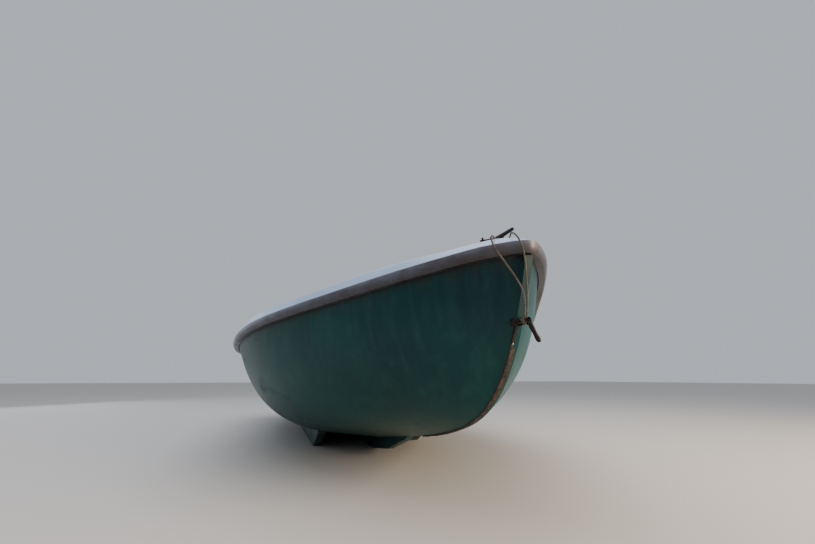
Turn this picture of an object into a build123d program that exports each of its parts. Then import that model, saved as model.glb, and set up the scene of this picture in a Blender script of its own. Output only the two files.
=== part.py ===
from build123d import *
from collections import namedtuple
import math
import os

# Glass-reinforced plastic rowing boat. Millimetres, +X to the bow, +Y to port, +Z up.
# Hull coordinates have x = 0 at the transom's top edge and z = 0 at the floor under the keel.
# Every piece is moved at the end so that the origin lies under the middle of the boat's length.

# Hull
HULL_LENGTH = 3300.0
HALF_BEAM = 720.0
HULL_DEPTH = 461.0
KEEL_DEPTH = 35.0
STEM_HALF_WIDTH = 10.0
HULL_WALL = 5.5
TRANSOM_WALL = 24.0
RIM_CLEARANCE = 0.3

# Gunwale moulding, measured from the sheer line: outboard and up are positive
CAP_OVERHANG = 26.0
CREASE_HEIGHT = 22.0
LIP_OVERHANG = 18.0
LIP_DROP = 7.5
SHOULDER_OUT = 13.0
SHOULDER_HEIGHT = 49.0
CAP_HEIGHT = 55.0
CAP_INBOARD = 46.0
CAP_INNER_EDGE_RADIUS = 6.0
CAP_INNER_FACE_LOW = 15.0
CAP_TOP_INSET = 10.0
SHOULDER_TUCK = 19.0
SHOULDER_BULGE_OUT = 4.0
SHOULDER_BULGE_DROP = 1.2
LIP_BULGE_IN = 1.0
LIP_BULGE_SHARE = 0.42
LIP_ROOT = 0.6
SEAT_SHARE = 0.8
CORNER_INNER_RADIUS = 4.0

# Inner moulding and sole
LINER_WALL = 3.5
FIT_CLEARANCE = 0.3
BULKHEAD_X = 2830.0
SOLE_HEIGHT = 112.0
SOLE_THICKNESS = 12.0
SOLE_AFT = 420.0
SOLE_FORE = 2330.0

# Foredeck
DECK_THICKNESS = 8.0
DECK_CAMBER = 8.0
FASCIA_LAP = 14.0
FASCIA_TUCK = 14.0
DECK_SINK = 2.0
DECK_TUCK = 3.0
DECK_CAMBER_SPAN = 400.0
DECK_STATIONS = (2950.0, 3050.0, 3150.0, 3230.0, 3280.0)

# Keels
KEEL_HALF_WIDTH = 15.0
KEEL_AFT = 90.0
KEEL_RISE_X = 1950.0
KEEL_FORE = 2480.0
KEEL_KNEE_Z = 38.0
KEEL_TOP_Z = 118.0
KEEL_RAKE = 18.0
FIN_TOP_Z = 170.0
RUNNER_OFFSET = 285.0
RUNNER_HALF_WIDTH = 20.0
RUNNER_AFT = 430.0
RUNNER_FORE = 1950.0
RUNNER_NOSE = 160.0
RUNNER_HEEL = 40.0
RUNNER_TOP_Z = 80.0

# Seats
SEAT_THICKNESS = 22.0
CENTRE_SEAT_AFT = 1330.0
CENTRE_SEAT_WIDTH = 250.0
BOW_SEAT_AFT = 2230.0
BOW_SEAT_WIDTH = 230.0
STERN_SEAT_FORE = 430.0
SEAT_HEIGHT = 300.0
SEAT_EDGE_RADIUS = 6.0
RISER_THICKNESS = 20.0
RISER_HEIGHT = 45.0
RISER_AFT = 60.0
RISER_FORE = 2560.0
RISER_INNER = 150.0
STERN_PANEL_THICKNESS = 9.0
STERN_SEAT_OVERHANG = 20.0
KNEE_THICKNESS = 20.0
KNEE_REACH = 95.0
KNEE_FOOT = 72.0
KNEE_TOE = 12.0
KNEE_HOLLOW = 0.56
POST_SIZE = 55.0
POST_EDGE_RADIUS = 7.0
QUARTER_KNEE_REACH = 150.0
QUARTER_KNEE_THICKNESS = 18.0
QUARTER_KNEE_DROP = 2.0

# Foot stretcher
STRETCHER_X = 760.0
STRETCHER_WIDTH = 70.0
STRETCHER_THICKNESS = 22.0
STRETCHER_EDGE_RADIUS = 5.0
STRETCHER_RAIL_LENGTH = 300.0
STRETCHER_RAIL_WIDTH = 24.0
STRETCHER_RAIL_HEIGHT = 30.0
STRETCHER_HALF_SPAN = 210.0

# Rowlocks
ROWLOCK_X = 1090.0
HINGE_OUT = 34.0
HINGE_HEIGHT = 22.0
HINGE_PIN_RADIUS = 4.0
PIN_RUNNING_CLEARANCE = 0.05
BRACKET_THICKNESS = 5.0
BRACKET_INSET = 1.0
BRACKET_HALF_LENGTH = 34.0
EAR_THICKNESS = 5.0
EAR_RADIUS = 8.0
BLOCK_HALF_WIDTH = 12.0
BLOCK_LENGTH = 52.0
BLOCK_GAP = 1.0
SHANK_RADIUS = 6.35
SHANK_LENGTH = 34.0
HORN_BAR_RADIUS = 5.5
HORN_INNER_RADIUS = 24.0
HORN_ARM = 30.0
HORN_SINK = 2.0
COLLAR_RADIUS = 11.0
COLLAR_HEIGHT = 6.0

# Stem fittings
FITTING_Z = 485.0
BALL_X = 3247.0
BALL_Y = -12.0
BALL_RADIUS = 10.5
LUG_RADIUS = 9.0
LUG_HALF_THICKNESS = 4.0
LUG_HOLE = 4.0
SHACKLE_X = 3264.0
SHACKLE_BAR_RADIUS = 3.0
SHACKLE_HALF_SPAN = 10.0
SHACKLE_ARM = 13.0
SHACKLE_EYE_RADIUS = 6.0
SHACKLE_PIN_RADIUS = 3.7
SHACKLE_PIN_REACH = 5.0
HOOK_ANGLE = -2.0
HOOK_BAR_RADIUS = 2.5
HOOK_EYE_RADIUS = 7.5
HOOK_WIDTH = 14.0
HOOK_HOLE_ALONG = 11.0
HOOK_HOLE_RADIUS = 2.2
HOOK_LEAN = 27.0
HOOK_BEARING = 88.0
KNOT_ANGLE = -65.0
KNOT_RADIUS = 6.0
BAND_LOW_Y = -12.0
BAND_HIGH_Y = 1.0
BAND_THICKNESS = 3.0
BAND_TOP_Z = 425.0
BAND_LOW_Z = 150.0
STEM_SEARCH_START = 0.6
STRAP_LOW_Y = -13.0
STRAP_HIGH_Y = -6.0
STRAP_THICKNESS = 4.0
STRAP_LOW_Z = 428.0
SEARCH_STEPS = 40
STRIP_STEPS = 5

# Deck fittings
CLEAT_X = 3186.0
CLEAT_HALF_LENGTH = 70.0
CLEAT_Z = 729.0
CLEAT_SINK = 2.0
CLEAT_PLATE_MARGIN = 14.0
CLEAT_WAIST_RADIUS = 6.5
CLEAT_TIP_RADIUS = 4.5
CLEAT_FOOT_RADIUS = 8.0
CLEAT_FOOT_SPACING = 36.0
CLEAT_FOOT_TUCK = 1.0
CLEAT_PLATE_THICKNESS = 3.0
CLEAT_PLATE_HALF_WIDTH = 11.0
FAIRLEAD_X = 3243.0
FAIRLEAD_STEP = 4.0
FAIRLEAD_INSET = 3.0
FAIRLEAD_LENGTH = 34.0
FAIRLEAD_WIDTH = 9.0
FAIRLEAD_PLATE = 3.0
FAIRLEAD_GAP = 11.0
FAIRLEAD_HORN = 8.0
FAIRLEAD_HORN_RADIUS = 3.0
TURNS_COUNT = 2
TURNS_LIFT = 3.0
RADIUS_SHARE = 0.45
ROPE_DIAMETER = 5.0
LEG_START_Z = 695.0

# Transom fittings
PAD_THICKNESS = 18.0
PAD_HALF_WIDTH = 120.0
PAD_HEIGHT = 210.0
PAD_TOP_DROP = 40.0
EYE_OFFSET = 330.0
EYE_Z = 400.0
EYE_BAR_RADIUS = 4.0
EYE_HALF_SPAN = 16.0
EYE_REACH = 20.0
DRAIN_RADIUS = 16.0
DRAIN_OFFSET = 60.0
DRAIN_Z = 140.0
DRAIN_THICKNESS = 7.0
EYE_FOOT_RADIUS = 9.0
EYE_FOOT_THICKNESS = 4.0

# Inspection cover in the bulkhead
COVER_RADIUS = 76.0
COVER_THICKNESS = 8.0
COVER_Z = 430.0

# Sections of the hook's flat bar, from its eye to its tip
HookSection = namedtuple("HookSection", "along width thickness")
HOOK_SECTIONS = [
    HookSection(-2.0, 7.5, 6.5),
    HookSection(9.0, 14.0, 10.0),
    HookSection(22.0, 12.0, 9.0),
    HookSection(41.0, 13.0, 10.0),
    HookSection(46.0, 8.0, 6.0),
]

MIDDLE_X = HULL_LENGTH / 2
ABOVE_RIM = 40.0
COCKPIT_STATIONS = 10

# The hull's stations. Each section lies in a plane through its keel point and its sheer point.
# Lengths are shares of HULL_LENGTH, widths of HALF_BEAM, and heights of HULL_DEPTH above the hull's bottom.
# The last columns are the gunwale's inboard reach as a share of CAP_INBOARD, and its rise above the crease
# as a share of the full rise.
Station = namedtuple(
    "Station",
    "x_sheer half_beam z_sheer x_keel z_keel knuckle_width knuckle_height bilge_round cap_reach cap_rise",
)
STATIONS = [
    Station(0.0000, 0.7611, 1.134, 0.0182, 0.087, 0.834, 0.202, 0.801, 1.00, 1.00),
    Station(0.0758, 0.8306, 1.086, 0.0814, 0.058, 0.866, 0.177, 0.805, 1.00, 1.00),
    Station(0.1515, 0.8889, 1.048, 0.1515, 0.033, 0.884, 0.161, 0.809, 1.00, 1.00),
    Station(0.2273, 0.9306, 1.020, 0.2261, 0.012, 0.896, 0.151, 0.814, 1.00, 1.00),
    Station(0.3030, 0.9560, 1.012, 0.3030, 0.000, 0.898, 0.147, 0.819, 1.00, 1.00),
    Station(0.4545, 0.9958, 1.006, 0.4545, 0.000, 0.855, 0.150, 0.831, 1.00, 1.00),
    Station(0.6061, 1.0000, 1.023, 0.6061, 0.052, 0.785, 0.172, 0.833, 1.00, 1.00),
    Station(0.7333, 0.8633, 1.110, 0.7603, 0.206, 0.760, 0.226, 0.815, 1.00, 1.00),
    Station(0.8424, 0.5679, 1.203, 0.8748, 0.349, 0.735, 0.312, 0.799, 1.00, 1.00),
    Station(0.9212, 0.3253, 1.270, 0.9442, 0.566, 0.710, 0.402, 0.786, 0.74, 0.96),
    Station(0.9697, 0.1599, 1.310, 0.9821, 0.922, 0.600, 0.450, 0.785, 0.44, 0.71),
    Station(0.9955, 0.0347, 1.332, 1.0039, 1.308, 0.443, 0.553, 0.788, 0.26, 0.57),
]
NOSE_Z_SHARE = 1.334
NOSE_CAP_REACH = 0.22
NOSE_CAP_RISE = 0.42


def station_points(station):
    """Keel point and sheer point of a station, in millimetres."""
    x_sheer = station.x_sheer * HULL_LENGTH
    x_keel = station.x_keel * HULL_LENGTH
    z_sheer = KEEL_DEPTH + station.z_sheer * HULL_DEPTH
    z_keel = KEEL_DEPTH + station.z_keel * HULL_DEPTH
    return Vector(x_keel, 0, z_keel), Vector(x_sheer, station.half_beam * HALF_BEAM, z_sheer)


def cross_at(point_a, direction_a, point_b, direction_b):
    """Where two lines in a section's plane meet."""
    det = direction_a[0] * direction_b[1] - direction_a[1] * direction_b[0]
    dy = point_b[0] - point_a[0]
    ds = point_b[1] - point_a[1]
    along = (dy * direction_b[1] - ds * direction_b[0]) / det
    return (point_a[0] + along * direction_a[0], point_a[1] + along * direction_a[1])


def unit(a, b):
    """Unit direction from a to b in a section's plane, and their distance."""
    length = math.hypot(b[0] - a[0], b[1] - a[1])
    return ((b[0] - a[0]) / length, (b[1] - a[1]) / length), length


def moved(point, direction, distance):
    """A point of a section's plane, moved along a direction."""
    return (point[0] + direction[0] * distance, point[1] + direction[1] * distance)


def hull_section(station, inset, rise):
    """Closed wire of a station: flat keel, bottom lines, bilge arcs, topsides and a straight top."""
    keel, sheer = station_points(station)
    slope = Vector(sheer.X - keel.X, 0, sheer.Z - keel.Z)
    height = slope.length
    up = slope.normalized()
    corner = (STEM_HALF_WIDTH, 0.0)
    knuckle = (sheer.Y * station.knuckle_width, height * station.knuckle_height)
    top = (sheer.Y, height)
    bottom_way, bottom_length = unit(corner, knuckle)
    side_way, side_length = unit(knuckle, top)
    bottom_in = (-bottom_way[1], bottom_way[0])
    side_in = (-side_way[1], side_way[0])
    turn = math.acos(bottom_way[0] * side_way[0] + bottom_way[1] * side_way[1])
    radius = station.bilge_round * min(bottom_length, side_length) / math.tan(turn / 2) - inset
    bottom_start = moved(corner, bottom_in, inset)
    side_start = moved(knuckle, side_in, inset)
    corner = cross_at((0, inset), (1, 0), bottom_start, bottom_way)
    knuckle = cross_at(bottom_start, bottom_way, side_start, side_way)
    top = cross_at((0, height + rise), (1, 0), side_start, side_way)
    tangent = radius * math.tan(turn / 2)
    arc_start = moved(knuckle, bottom_way, -tangent)
    arc_end = moved(knuckle, side_way, tangent)
    centre = moved(arc_start, bottom_in, radius)
    outward, _ = unit(centre, knuckle)
    arc_middle = moved(centre, outward, radius)

    def place(point, side=1):
        return keel + up * point[1] + Vector(0, side * point[0], 0)

    def half(side):
        return [
            Edge.make_line(place(corner, side), place(arc_start, side)),
            Edge.make_three_point_arc(place(arc_start, side), place(arc_middle, side), place(arc_end, side)),
            Edge.make_line(place(arc_end, side), place(top, side)),
        ]

    keel_flat = Edge.make_line(place(corner, -1), place(corner, 1))
    sheer_line = Edge.make_line(place(top, 1), place(top, -1))
    return Wire([keel_flat] + half(1) + [sheer_line] + half(-1))


def hull_block(inset, rise, last):
    """Solid between the transom and station number last, inset from the hull's outside."""
    return Solid.make_loft([hull_section(station, inset, rise) for station in STATIONS[:last]])


def transom_plane(distance):
    """Plane parallel to the transom, moved forward into the boat."""
    keel, sheer = station_points(STATIONS[0])
    way = Vector(sheer.X - keel.X, 0, sheer.Z - keel.Z).normalized()
    forward = Vector(0, 1, 0).cross(way)
    return Plane(origin=keel + forward * distance, x_dir=(0, 1, 0), z_dir=forward)


def box_between(x0, x1, y0, y1, z0, z1):
    """Box from its low corner to its high corner."""
    return Pos(x0, y0, z0) * Box(x1 - x0, y1 - y0, z1 - z0, align=(Align.MIN, Align.MIN, Align.MIN))


def rounded_board(x0, x1, y0, y1, z0, z1, radius):
    """Board athwart the boat, its long edges rounded."""
    board = box_between(x0, x1, y0, y1, z0, z1)
    return fillet(board.edges().filter_by(Axis.Y), radius)


def rod(start, end, radius):
    """Round bar between two points."""
    start = Vector(*start)
    end = Vector(*end)
    way = end - start
    return Plane(origin=start, z_dir=way) * Cylinder(
        radius, way.length, align=(Align.CENTER, Align.CENTER, Align.MIN)
    )


def bar_along(path, radius):
    """Round bar swept along a path of lines and arcs."""
    start = Plane(origin=path @ 0, z_dir=path % 0)
    return sweep(start * Circle(radius), path=path)


def mirrored(shape):
    """The shape's copy on the other side of the centreline."""
    return mirror(shape, about=Plane.XZ)


def share_between(x, column):
    """Value of a station column at a sheer x, along straight stretches between stations."""
    for low, high in zip(STATIONS, STATIONS[1:]):
        x0 = low.x_sheer * HULL_LENGTH
        x1 = high.x_sheer * HULL_LENGTH
        if x <= x1:
            t = (x - x0) / (x1 - x0)
            return getattr(low, column) * (1 - t) + getattr(high, column) * t
    return getattr(STATIONS[-1], column)


STATIONS_TOP = KEEL_DEPTH + STATIONS[0].z_sheer * HULL_DEPTH
SHEER_POINTS = [station_points(station)[1] for station in STATIONS]
NOSE_POINT = Vector(HULL_LENGTH, 0, KEEL_DEPTH + NOSE_Z_SHARE * HULL_DEPTH)
SHEER_LINE = Spline(*(SHEER_POINTS + [NOSE_POINT] + [Vector(p.X, -p.Y, p.Z) for p in reversed(SHEER_POINTS)]))


def sheer_at(x):
    """Sheer point on the port side at a length x."""
    cut = SHEER_LINE.intersect(Plane(origin=(x, 0, 0), z_dir=(1, 0, 0)))
    points = [Vector(v) for v in cut.vertices()] if hasattr(cut, "vertices") else [Vector(v) for v in cut]
    return max(points, key=lambda point: point.Y)


# Gunwale moulding


def cap_top(rise):
    """Height of the gunwale's flat top above the sheer line."""
    return CREASE_HEIGHT + (CAP_HEIGHT - CREASE_HEIGHT) * rise


def cap_profile(origin, outward, reach, rise):
    """Closed wire of the gunwale's section at a sheer point."""
    up = Vector(0, 0, 1)

    def place(out, height):
        return origin + outward * out + up * height

    inner = -reach
    high = cap_top(rise)
    shoulder_high = CREASE_HEIGHT + (SHOULDER_HEIGHT - CREASE_HEIGHT) * rise
    shoulder_out = SHOULDER_OUT - SHOULDER_TUCK * (1 - rise)
    edge = min(CAP_INNER_EDGE_RADIUS, reach / 2)
    diagonal = edge * (1 - math.sqrt(0.5))
    bulge_high = (CREASE_HEIGHT - LIP_DROP) * LIP_BULGE_SHARE
    seat_in = min(HULL_WALL + LINER_WALL + 1, reach * SEAT_SHARE)
    points = {
        "lip_in": place(LIP_ROOT, -LIP_DROP),
        "lip_out": place(LIP_OVERHANG, -LIP_DROP),
        "lip_bulge": place(CAP_OVERHANG - LIP_BULGE_IN, bulge_high),
        "crease": place(CAP_OVERHANG, CREASE_HEIGHT),
        "shoulder": place(shoulder_out, shoulder_high),
        "shoulder_bulge": place(shoulder_out - SHOULDER_BULGE_OUT, high - SHOULDER_BULGE_DROP * rise),
        "top_out": place(shoulder_out - CAP_TOP_INSET, high),
        "top_in": place(inner + edge, high),
        "edge_bulge": place(inner + diagonal, high - diagonal),
        "face_high": place(inner, high - edge),
        "face_low": place(inner, CAP_INNER_FACE_LOW),
        "seat_in": place(-seat_in, RIM_CLEARANCE),
        "seat_out": place(LIP_ROOT, RIM_CLEARANCE),
    }
    p = points
    return Wire(
        [
            Edge.make_line(p["lip_in"], p["lip_out"]),
            Edge.make_three_point_arc(p["lip_out"], p["lip_bulge"], p["crease"]),
            Edge.make_line(p["crease"], p["shoulder"]),
            Edge.make_three_point_arc(p["shoulder"], p["shoulder_bulge"], p["top_out"]),
            Edge.make_line(p["top_out"], p["top_in"]),
            Edge.make_three_point_arc(p["top_in"], p["edge_bulge"], p["face_high"]),
            Edge.make_line(p["face_high"], p["face_low"]),
            Edge.make_line(p["face_low"], p["seat_in"]),
            Edge.make_line(p["seat_in"], p["seat_out"]),
            Edge.make_line(p["seat_out"], p["lip_in"]),
        ]
    )


def gunwale_ring():
    """Gunwale from the port quarter round the bow to the starboard quarter and across the transom."""
    corner_radius = CAP_INBOARD + CORNER_INNER_RADIUS
    first = SHEER_POINTS[0]
    second = SHEER_POINTS[1]
    side_way = Vector(second.X - first.X, second.Y - first.Y, 0).normalized()
    side_out = Vector(-side_way.Y, side_way.X, 0)
    start_x = corner_radius * (1 + side_out.X)
    t = start_x / (second.X - first.X)
    start = first * (1 - t) + second * t
    start = Vector(start.X, start.Y, first.Z)
    rows = [(start, side_out, CAP_INBOARD, 1)]
    ring = SHEER_POINTS + [NOSE_POINT]
    for index in range(1, len(STATIONS)):
        before = ring[index] - ring[index - 1]
        after = ring[index + 1] - ring[index]
        way = Vector(before.X, before.Y, 0) * (1 / before.length**1.5)
        way = way + Vector(after.X, after.Y, 0) * (1 / after.length**1.5)
        way = way.normalized()
        outward = Vector(-way.Y, way.X, 0)
        station = STATIONS[index]
        rows.append((ring[index], outward, station.cap_reach * CAP_INBOARD, station.cap_rise))
    port = [cap_profile(*row) for row in rows]
    starboard = [
        cap_profile(Vector(p.X, -p.Y, p.Z), Vector(o.X, -o.Y, 0), reach, rise)
        for p, o, reach, rise in reversed(rows)
    ]
    nose = cap_profile(NOSE_POINT, Vector(1, 0, 0), NOSE_CAP_REACH * CAP_INBOARD, NOSE_CAP_RISE)
    sides = Solid.make_loft(port + [nose] + starboard)
    pivot = start - side_out * corner_radius
    turn = 90 - math.degrees(math.atan2(side_way.Y, side_way.X))
    quarter = Solid.revolve(
        Face(cap_profile(start, side_out, CAP_INBOARD, 1)), turn, Axis((pivot.X, pivot.Y, 0), (0, 0, 1))
    )
    stern_start = Vector(pivot.X - corner_radius, pivot.Y, start.Z)
    stern_face = Face(cap_profile(stern_start, Vector(-1, 0, 0), CAP_INBOARD, 1))
    stern = Solid.extrude(stern_face, Vector(0, -2 * pivot.Y, 0))
    return sides + quarter + mirrored(quarter) + stern


parts = {}
outer = hull_block(0, 0, len(STATIONS))
hollow = hull_block(HULL_WALL, ABOVE_RIM, len(STATIONS) - 1).split(transom_plane(TRANSOM_WALL), keep=Keep.TOP)
parts["hull_shell"] = outer - hollow

gunwale = gunwale_ring() - outer
parts["gunwale_moulding"] = gunwale

# Inner moulding: a tub with its own transom skin, closed forward by the bulkhead

room_inset = HULL_WALL + LINER_WALL
inner_skin = TRANSOM_WALL + LINER_WALL
fore_side = Plane(origin=(BULKHEAD_X, 0, 0), z_dir=(-1, 0, 0))
aft_side = Plane(origin=(BULKHEAD_X - LINER_WALL, 0, 0), z_dir=(-1, 0, 0))
liner_block = (hollow & outer).split(fore_side, keep=Keep.TOP)
room = hull_block(room_inset, ABOVE_RIM, COCKPIT_STATIONS).split(transom_plane(inner_skin), keep=Keep.TOP)
room = room.split(aft_side, keep=Keep.TOP)
parts["cockpit_liner"] = liner_block - room

# What stands in the cockpit is trimmed to this space
berth = hull_block(room_inset + FIT_CLEARANCE, 0, COCKPIT_STATIONS)
berth = berth.split(transom_plane(inner_skin + FIT_CLEARANCE), keep=Keep.TOP)

sole_low = SOLE_HEIGHT - SOLE_THICKNESS
parts["sole_panel"] = berth & box_between(SOLE_AFT, SOLE_FORE, -HALF_BEAM, HALF_BEAM, sole_low, SOLE_HEIGHT)

seat_low = SEAT_HEIGHT - SEAT_THICKNESS
centre_seat_fore = CENTRE_SEAT_AFT + CENTRE_SEAT_WIDTH
bow_seat_fore = BOW_SEAT_AFT + BOW_SEAT_WIDTH
parts["centre_thwart"] = berth & rounded_board(
    CENTRE_SEAT_AFT, centre_seat_fore, -HALF_BEAM, HALF_BEAM, seat_low, SEAT_HEIGHT, SEAT_EDGE_RADIUS
)
parts["bow_thwart"] = berth & rounded_board(
    BOW_SEAT_AFT, bow_seat_fore, -HALF_BEAM, HALF_BEAM, seat_low, SEAT_HEIGHT, SEAT_EDGE_RADIUS
)
parts["stern_bench"] = berth & rounded_board(
    -HALF_BEAM, STERN_SEAT_FORE, -HALF_BEAM, HALF_BEAM, seat_low, SEAT_HEIGHT, SEAT_EDGE_RADIUS
)

riser_high = seat_low - FIT_CLEARANCE
riser_low = riser_high - RISER_HEIGHT
riser_core = hull_block(room_inset + FIT_CLEARANCE + RISER_THICKNESS, ABOVE_RIM, COCKPIT_STATIONS)
riser_slab = berth & box_between(RISER_AFT, RISER_FORE, RISER_INNER, HALF_BEAM, riser_low, riser_high)
parts["riser_port"] = riser_slab - riser_core
parts["riser_starboard"] = mirrored(parts["riser_port"])

panel_fore = STERN_SEAT_FORE - STERN_SEAT_OVERHANG
panel_aft = panel_fore - STERN_PANEL_THICKNESS
panel = berth & box_between(panel_aft, panel_fore, -HALF_BEAM, HALF_BEAM, 0, riser_high)
parts["stern_panel"] = panel - parts["riser_port"] - parts["riser_starboard"]

post_x = CENTRE_SEAT_AFT + CENTRE_SEAT_WIDTH / 2
half_post = POST_SIZE / 2
post = box_between(post_x - half_post, post_x + half_post, -half_post, half_post, SOLE_HEIGHT, seat_low)
parts["thwart_post"] = fillet(post.edges().filter_by(Axis.Z), POST_EDGE_RADIUS)


def thwart_knee(x):
    """Upright knee on a thwart's port end, its inboard edge a hollow curve."""
    side = sheer_at(x)
    seat_strip = berth & box_between(x, x + KNEE_THICKNESS, 0, HALF_BEAM, SEAT_HEIGHT, SEAT_HEIGHT + KNEE_TOE)
    foot_y = seat_strip.bounding_box().max.Y - KNEE_FOOT
    top_y = side.Y - CAP_INBOARD + KNEE_TOE
    hollow_y = foot_y + (top_y - foot_y) * KNEE_HOLLOW
    hollow_z = SEAT_HEIGHT + (side.Z - SEAT_HEIGHT) * (1 - KNEE_HOLLOW)
    start = (x, foot_y, SEAT_HEIGHT + KNEE_TOE)
    outline = Wire(
        [
            Edge.make_line((x, foot_y, SEAT_HEIGHT), (x, side.Y, SEAT_HEIGHT)),
            Edge.make_line((x, side.Y, SEAT_HEIGHT), (x, side.Y, side.Z)),
            Edge.make_line((x, side.Y, side.Z), (x, top_y, side.Z)),
            Edge.make_three_point_arc((x, top_y, side.Z), (x, hollow_y, hollow_z), start),
            Edge.make_line(start, (x, foot_y, SEAT_HEIGHT)),
        ]
    )
    plate = Solid.extrude(Face(outline), Vector(KNEE_THICKNESS, 0, 0))
    return plate & berth


knees = []
for seat_aft, seat_width in ((CENTRE_SEAT_AFT, CENTRE_SEAT_WIDTH), (BOW_SEAT_AFT, BOW_SEAT_WIDTH)):
    knee = thwart_knee(seat_aft + (seat_width - KNEE_THICKNESS) / 2)
    knees += [knee, mirrored(knee)]
parts["thwart_knees"] = Compound(children=[solid for knee in knees for solid in knee.solids()])

quarter_side = sheer_at(QUARTER_KNEE_REACH)
quarter_high = STATIONS_TOP - QUARTER_KNEE_DROP
quarter_plan = Polyline(
    (0, quarter_side.Y, quarter_high),
    (0, quarter_side.Y - QUARTER_KNEE_REACH - KNEE_REACH, quarter_high),
    (KNEE_REACH, quarter_side.Y - QUARTER_KNEE_REACH, quarter_high),
    (QUARTER_KNEE_REACH + KNEE_REACH, quarter_side.Y, quarter_high),
    close=True,
)
quarter = Solid.extrude(Face(Wire(quarter_plan.edges())), Vector(0, 0, -QUARTER_KNEE_THICKNESS)) & berth
parts["quarter_knees"] = Compound(children=quarter.solids() + mirrored(quarter).solids())

# Foredeck: a cambered plate inside the gunwale, with a fascia turned down over the bulkhead

deck_aft = BULKHEAD_X - LINER_WALL - DECK_THICKNESS


def deck_section(x):
    """Closed wire of the foredeck plate at a length x."""
    side = sheer_at(x)
    high = side.Z + cap_top(share_between(x, "cap_rise")) - DECK_SINK
    half_width = side.Y - DECK_TUCK
    camber = DECK_CAMBER * half_width / DECK_CAMBER_SPAN
    low = high - DECK_THICKNESS
    return Wire(
        [
            Edge.make_three_point_arc((x, half_width, high), (x, 0, high + camber), (x, -half_width, high)),
            Edge.make_line((x, -half_width, high), (x, -half_width, low)),
            Edge.make_line((x, -half_width, low), (x, half_width, low)),
            Edge.make_line((x, half_width, low), (x, half_width, high)),
        ]
    )


deck_plate = Solid.make_loft([deck_section(x) for x in (deck_aft,) + DECK_STATIONS])
fascia_side = sheer_at(deck_aft)
fascia_high = fascia_side.Z + CAP_HEIGHT - DECK_SINK - DECK_THICKNESS / 2
fascia_fore = deck_aft + DECK_THICKNESS
fascia_over = box_between(
    deck_aft,
    fascia_fore,
    -fascia_side.Y + FASCIA_TUCK,
    fascia_side.Y - FASCIA_TUCK,
    fascia_side.Z,
    fascia_high,
)
fascia_under = berth & box_between(
    deck_aft,
    fascia_fore,
    -fascia_side.Y,
    fascia_side.Y,
    fascia_side.Z - FASCIA_LAP,
    fascia_side.Z + FASCIA_LAP,
)
parts["foredeck"] = deck_plate + (fascia_over + fascia_under) - gunwale

# Keel, bilge runners and stem band, each trimmed to the hull


def fin(points, y, half_width):
    """Fin of an outline in the XZ plane, its top trimmed to the hull's bottom."""
    outline = Polyline(*[(x, y - half_width, z) for x, z in points], close=True)
    return Solid.extrude(Face(Wire(outline.edges())), Vector(0, 2 * half_width, 0)) - outer


keel_points = [
    (KEEL_AFT, 0),
    (KEEL_RISE_X, 0),
    ((KEEL_RISE_X + KEEL_FORE) / 2, KEEL_KNEE_Z),
    (KEEL_FORE, KEEL_TOP_Z),
    (KEEL_FORE, FIN_TOP_Z),
    (KEEL_AFT - KEEL_RAKE, FIN_TOP_Z),
    (KEEL_AFT - KEEL_RAKE, KEEL_TOP_Z),
]
parts["keel"] = fin(keel_points, 0, KEEL_HALF_WIDTH)
runner_points = [
    (RUNNER_AFT + RUNNER_HEEL, 0),
    (RUNNER_FORE - RUNNER_NOSE, 0),
    (RUNNER_FORE, RUNNER_TOP_Z),
    (RUNNER_FORE, FIN_TOP_Z),
    (RUNNER_AFT, FIN_TOP_Z),
    (RUNNER_AFT, RUNNER_TOP_Z),
]
parts["runner_port"] = fin(runner_points, RUNNER_OFFSET, RUNNER_HALF_WIDTH)
parts["runner_starboard"] = mirrored(parts["runner_port"])

KEEL_LINE = Spline(*[station_points(station)[0] for station in STATIONS])


def stem_parameter(z):
    """Where the stem's line reaches a height, by halving."""
    low = STEM_SEARCH_START
    high = 1.0
    for _ in range(SEARCH_STEPS):
        middle = (low + high) / 2
        if (KEEL_LINE @ middle).Z < z:
            low = middle
        else:
            high = middle
    return (low + high) / 2


def stem_offset(t, distance):
    """Point of the stem's line moved square to it: forward is positive."""
    way = KEEL_LINE % t
    out = Vector(way.Z, 0, -way.X).normalized()
    return KEEL_LINE @ t + out * distance


def stem_strip(z_low, z_high, y_low, y_high, thickness):
    """Strip that follows the stem's front between two heights."""
    t_low = stem_parameter(z_low)
    t_high = stem_parameter(z_high)
    steps = [t_low + (t_high - t_low) * k / STRIP_STEPS for k in range(STRIP_STEPS + 1)]
    front = Spline(*[stem_offset(t, thickness) for t in steps])
    back = [stem_offset(t_high, -thickness * 2), stem_offset(t_low, -thickness * 2)]
    edges = [
        front.edge(),
        Edge.make_line(front @ 1, back[0]),
        Edge.make_line(back[0], back[1]),
        Edge.make_line(back[1], front @ 0),
    ]
    face = Face(Wire(edges))
    return Solid.extrude(face.moved(Location((0, y_low, 0))), Vector(0, y_high - y_low, 0)) - outer


parts["stem_band"] = stem_strip(BAND_LOW_Z, BAND_TOP_Z, BAND_LOW_Y, BAND_HIGH_Y, BAND_THICKNESS)

# Foot stretcher: two rails on the sole, and a bar on edge across them

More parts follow.
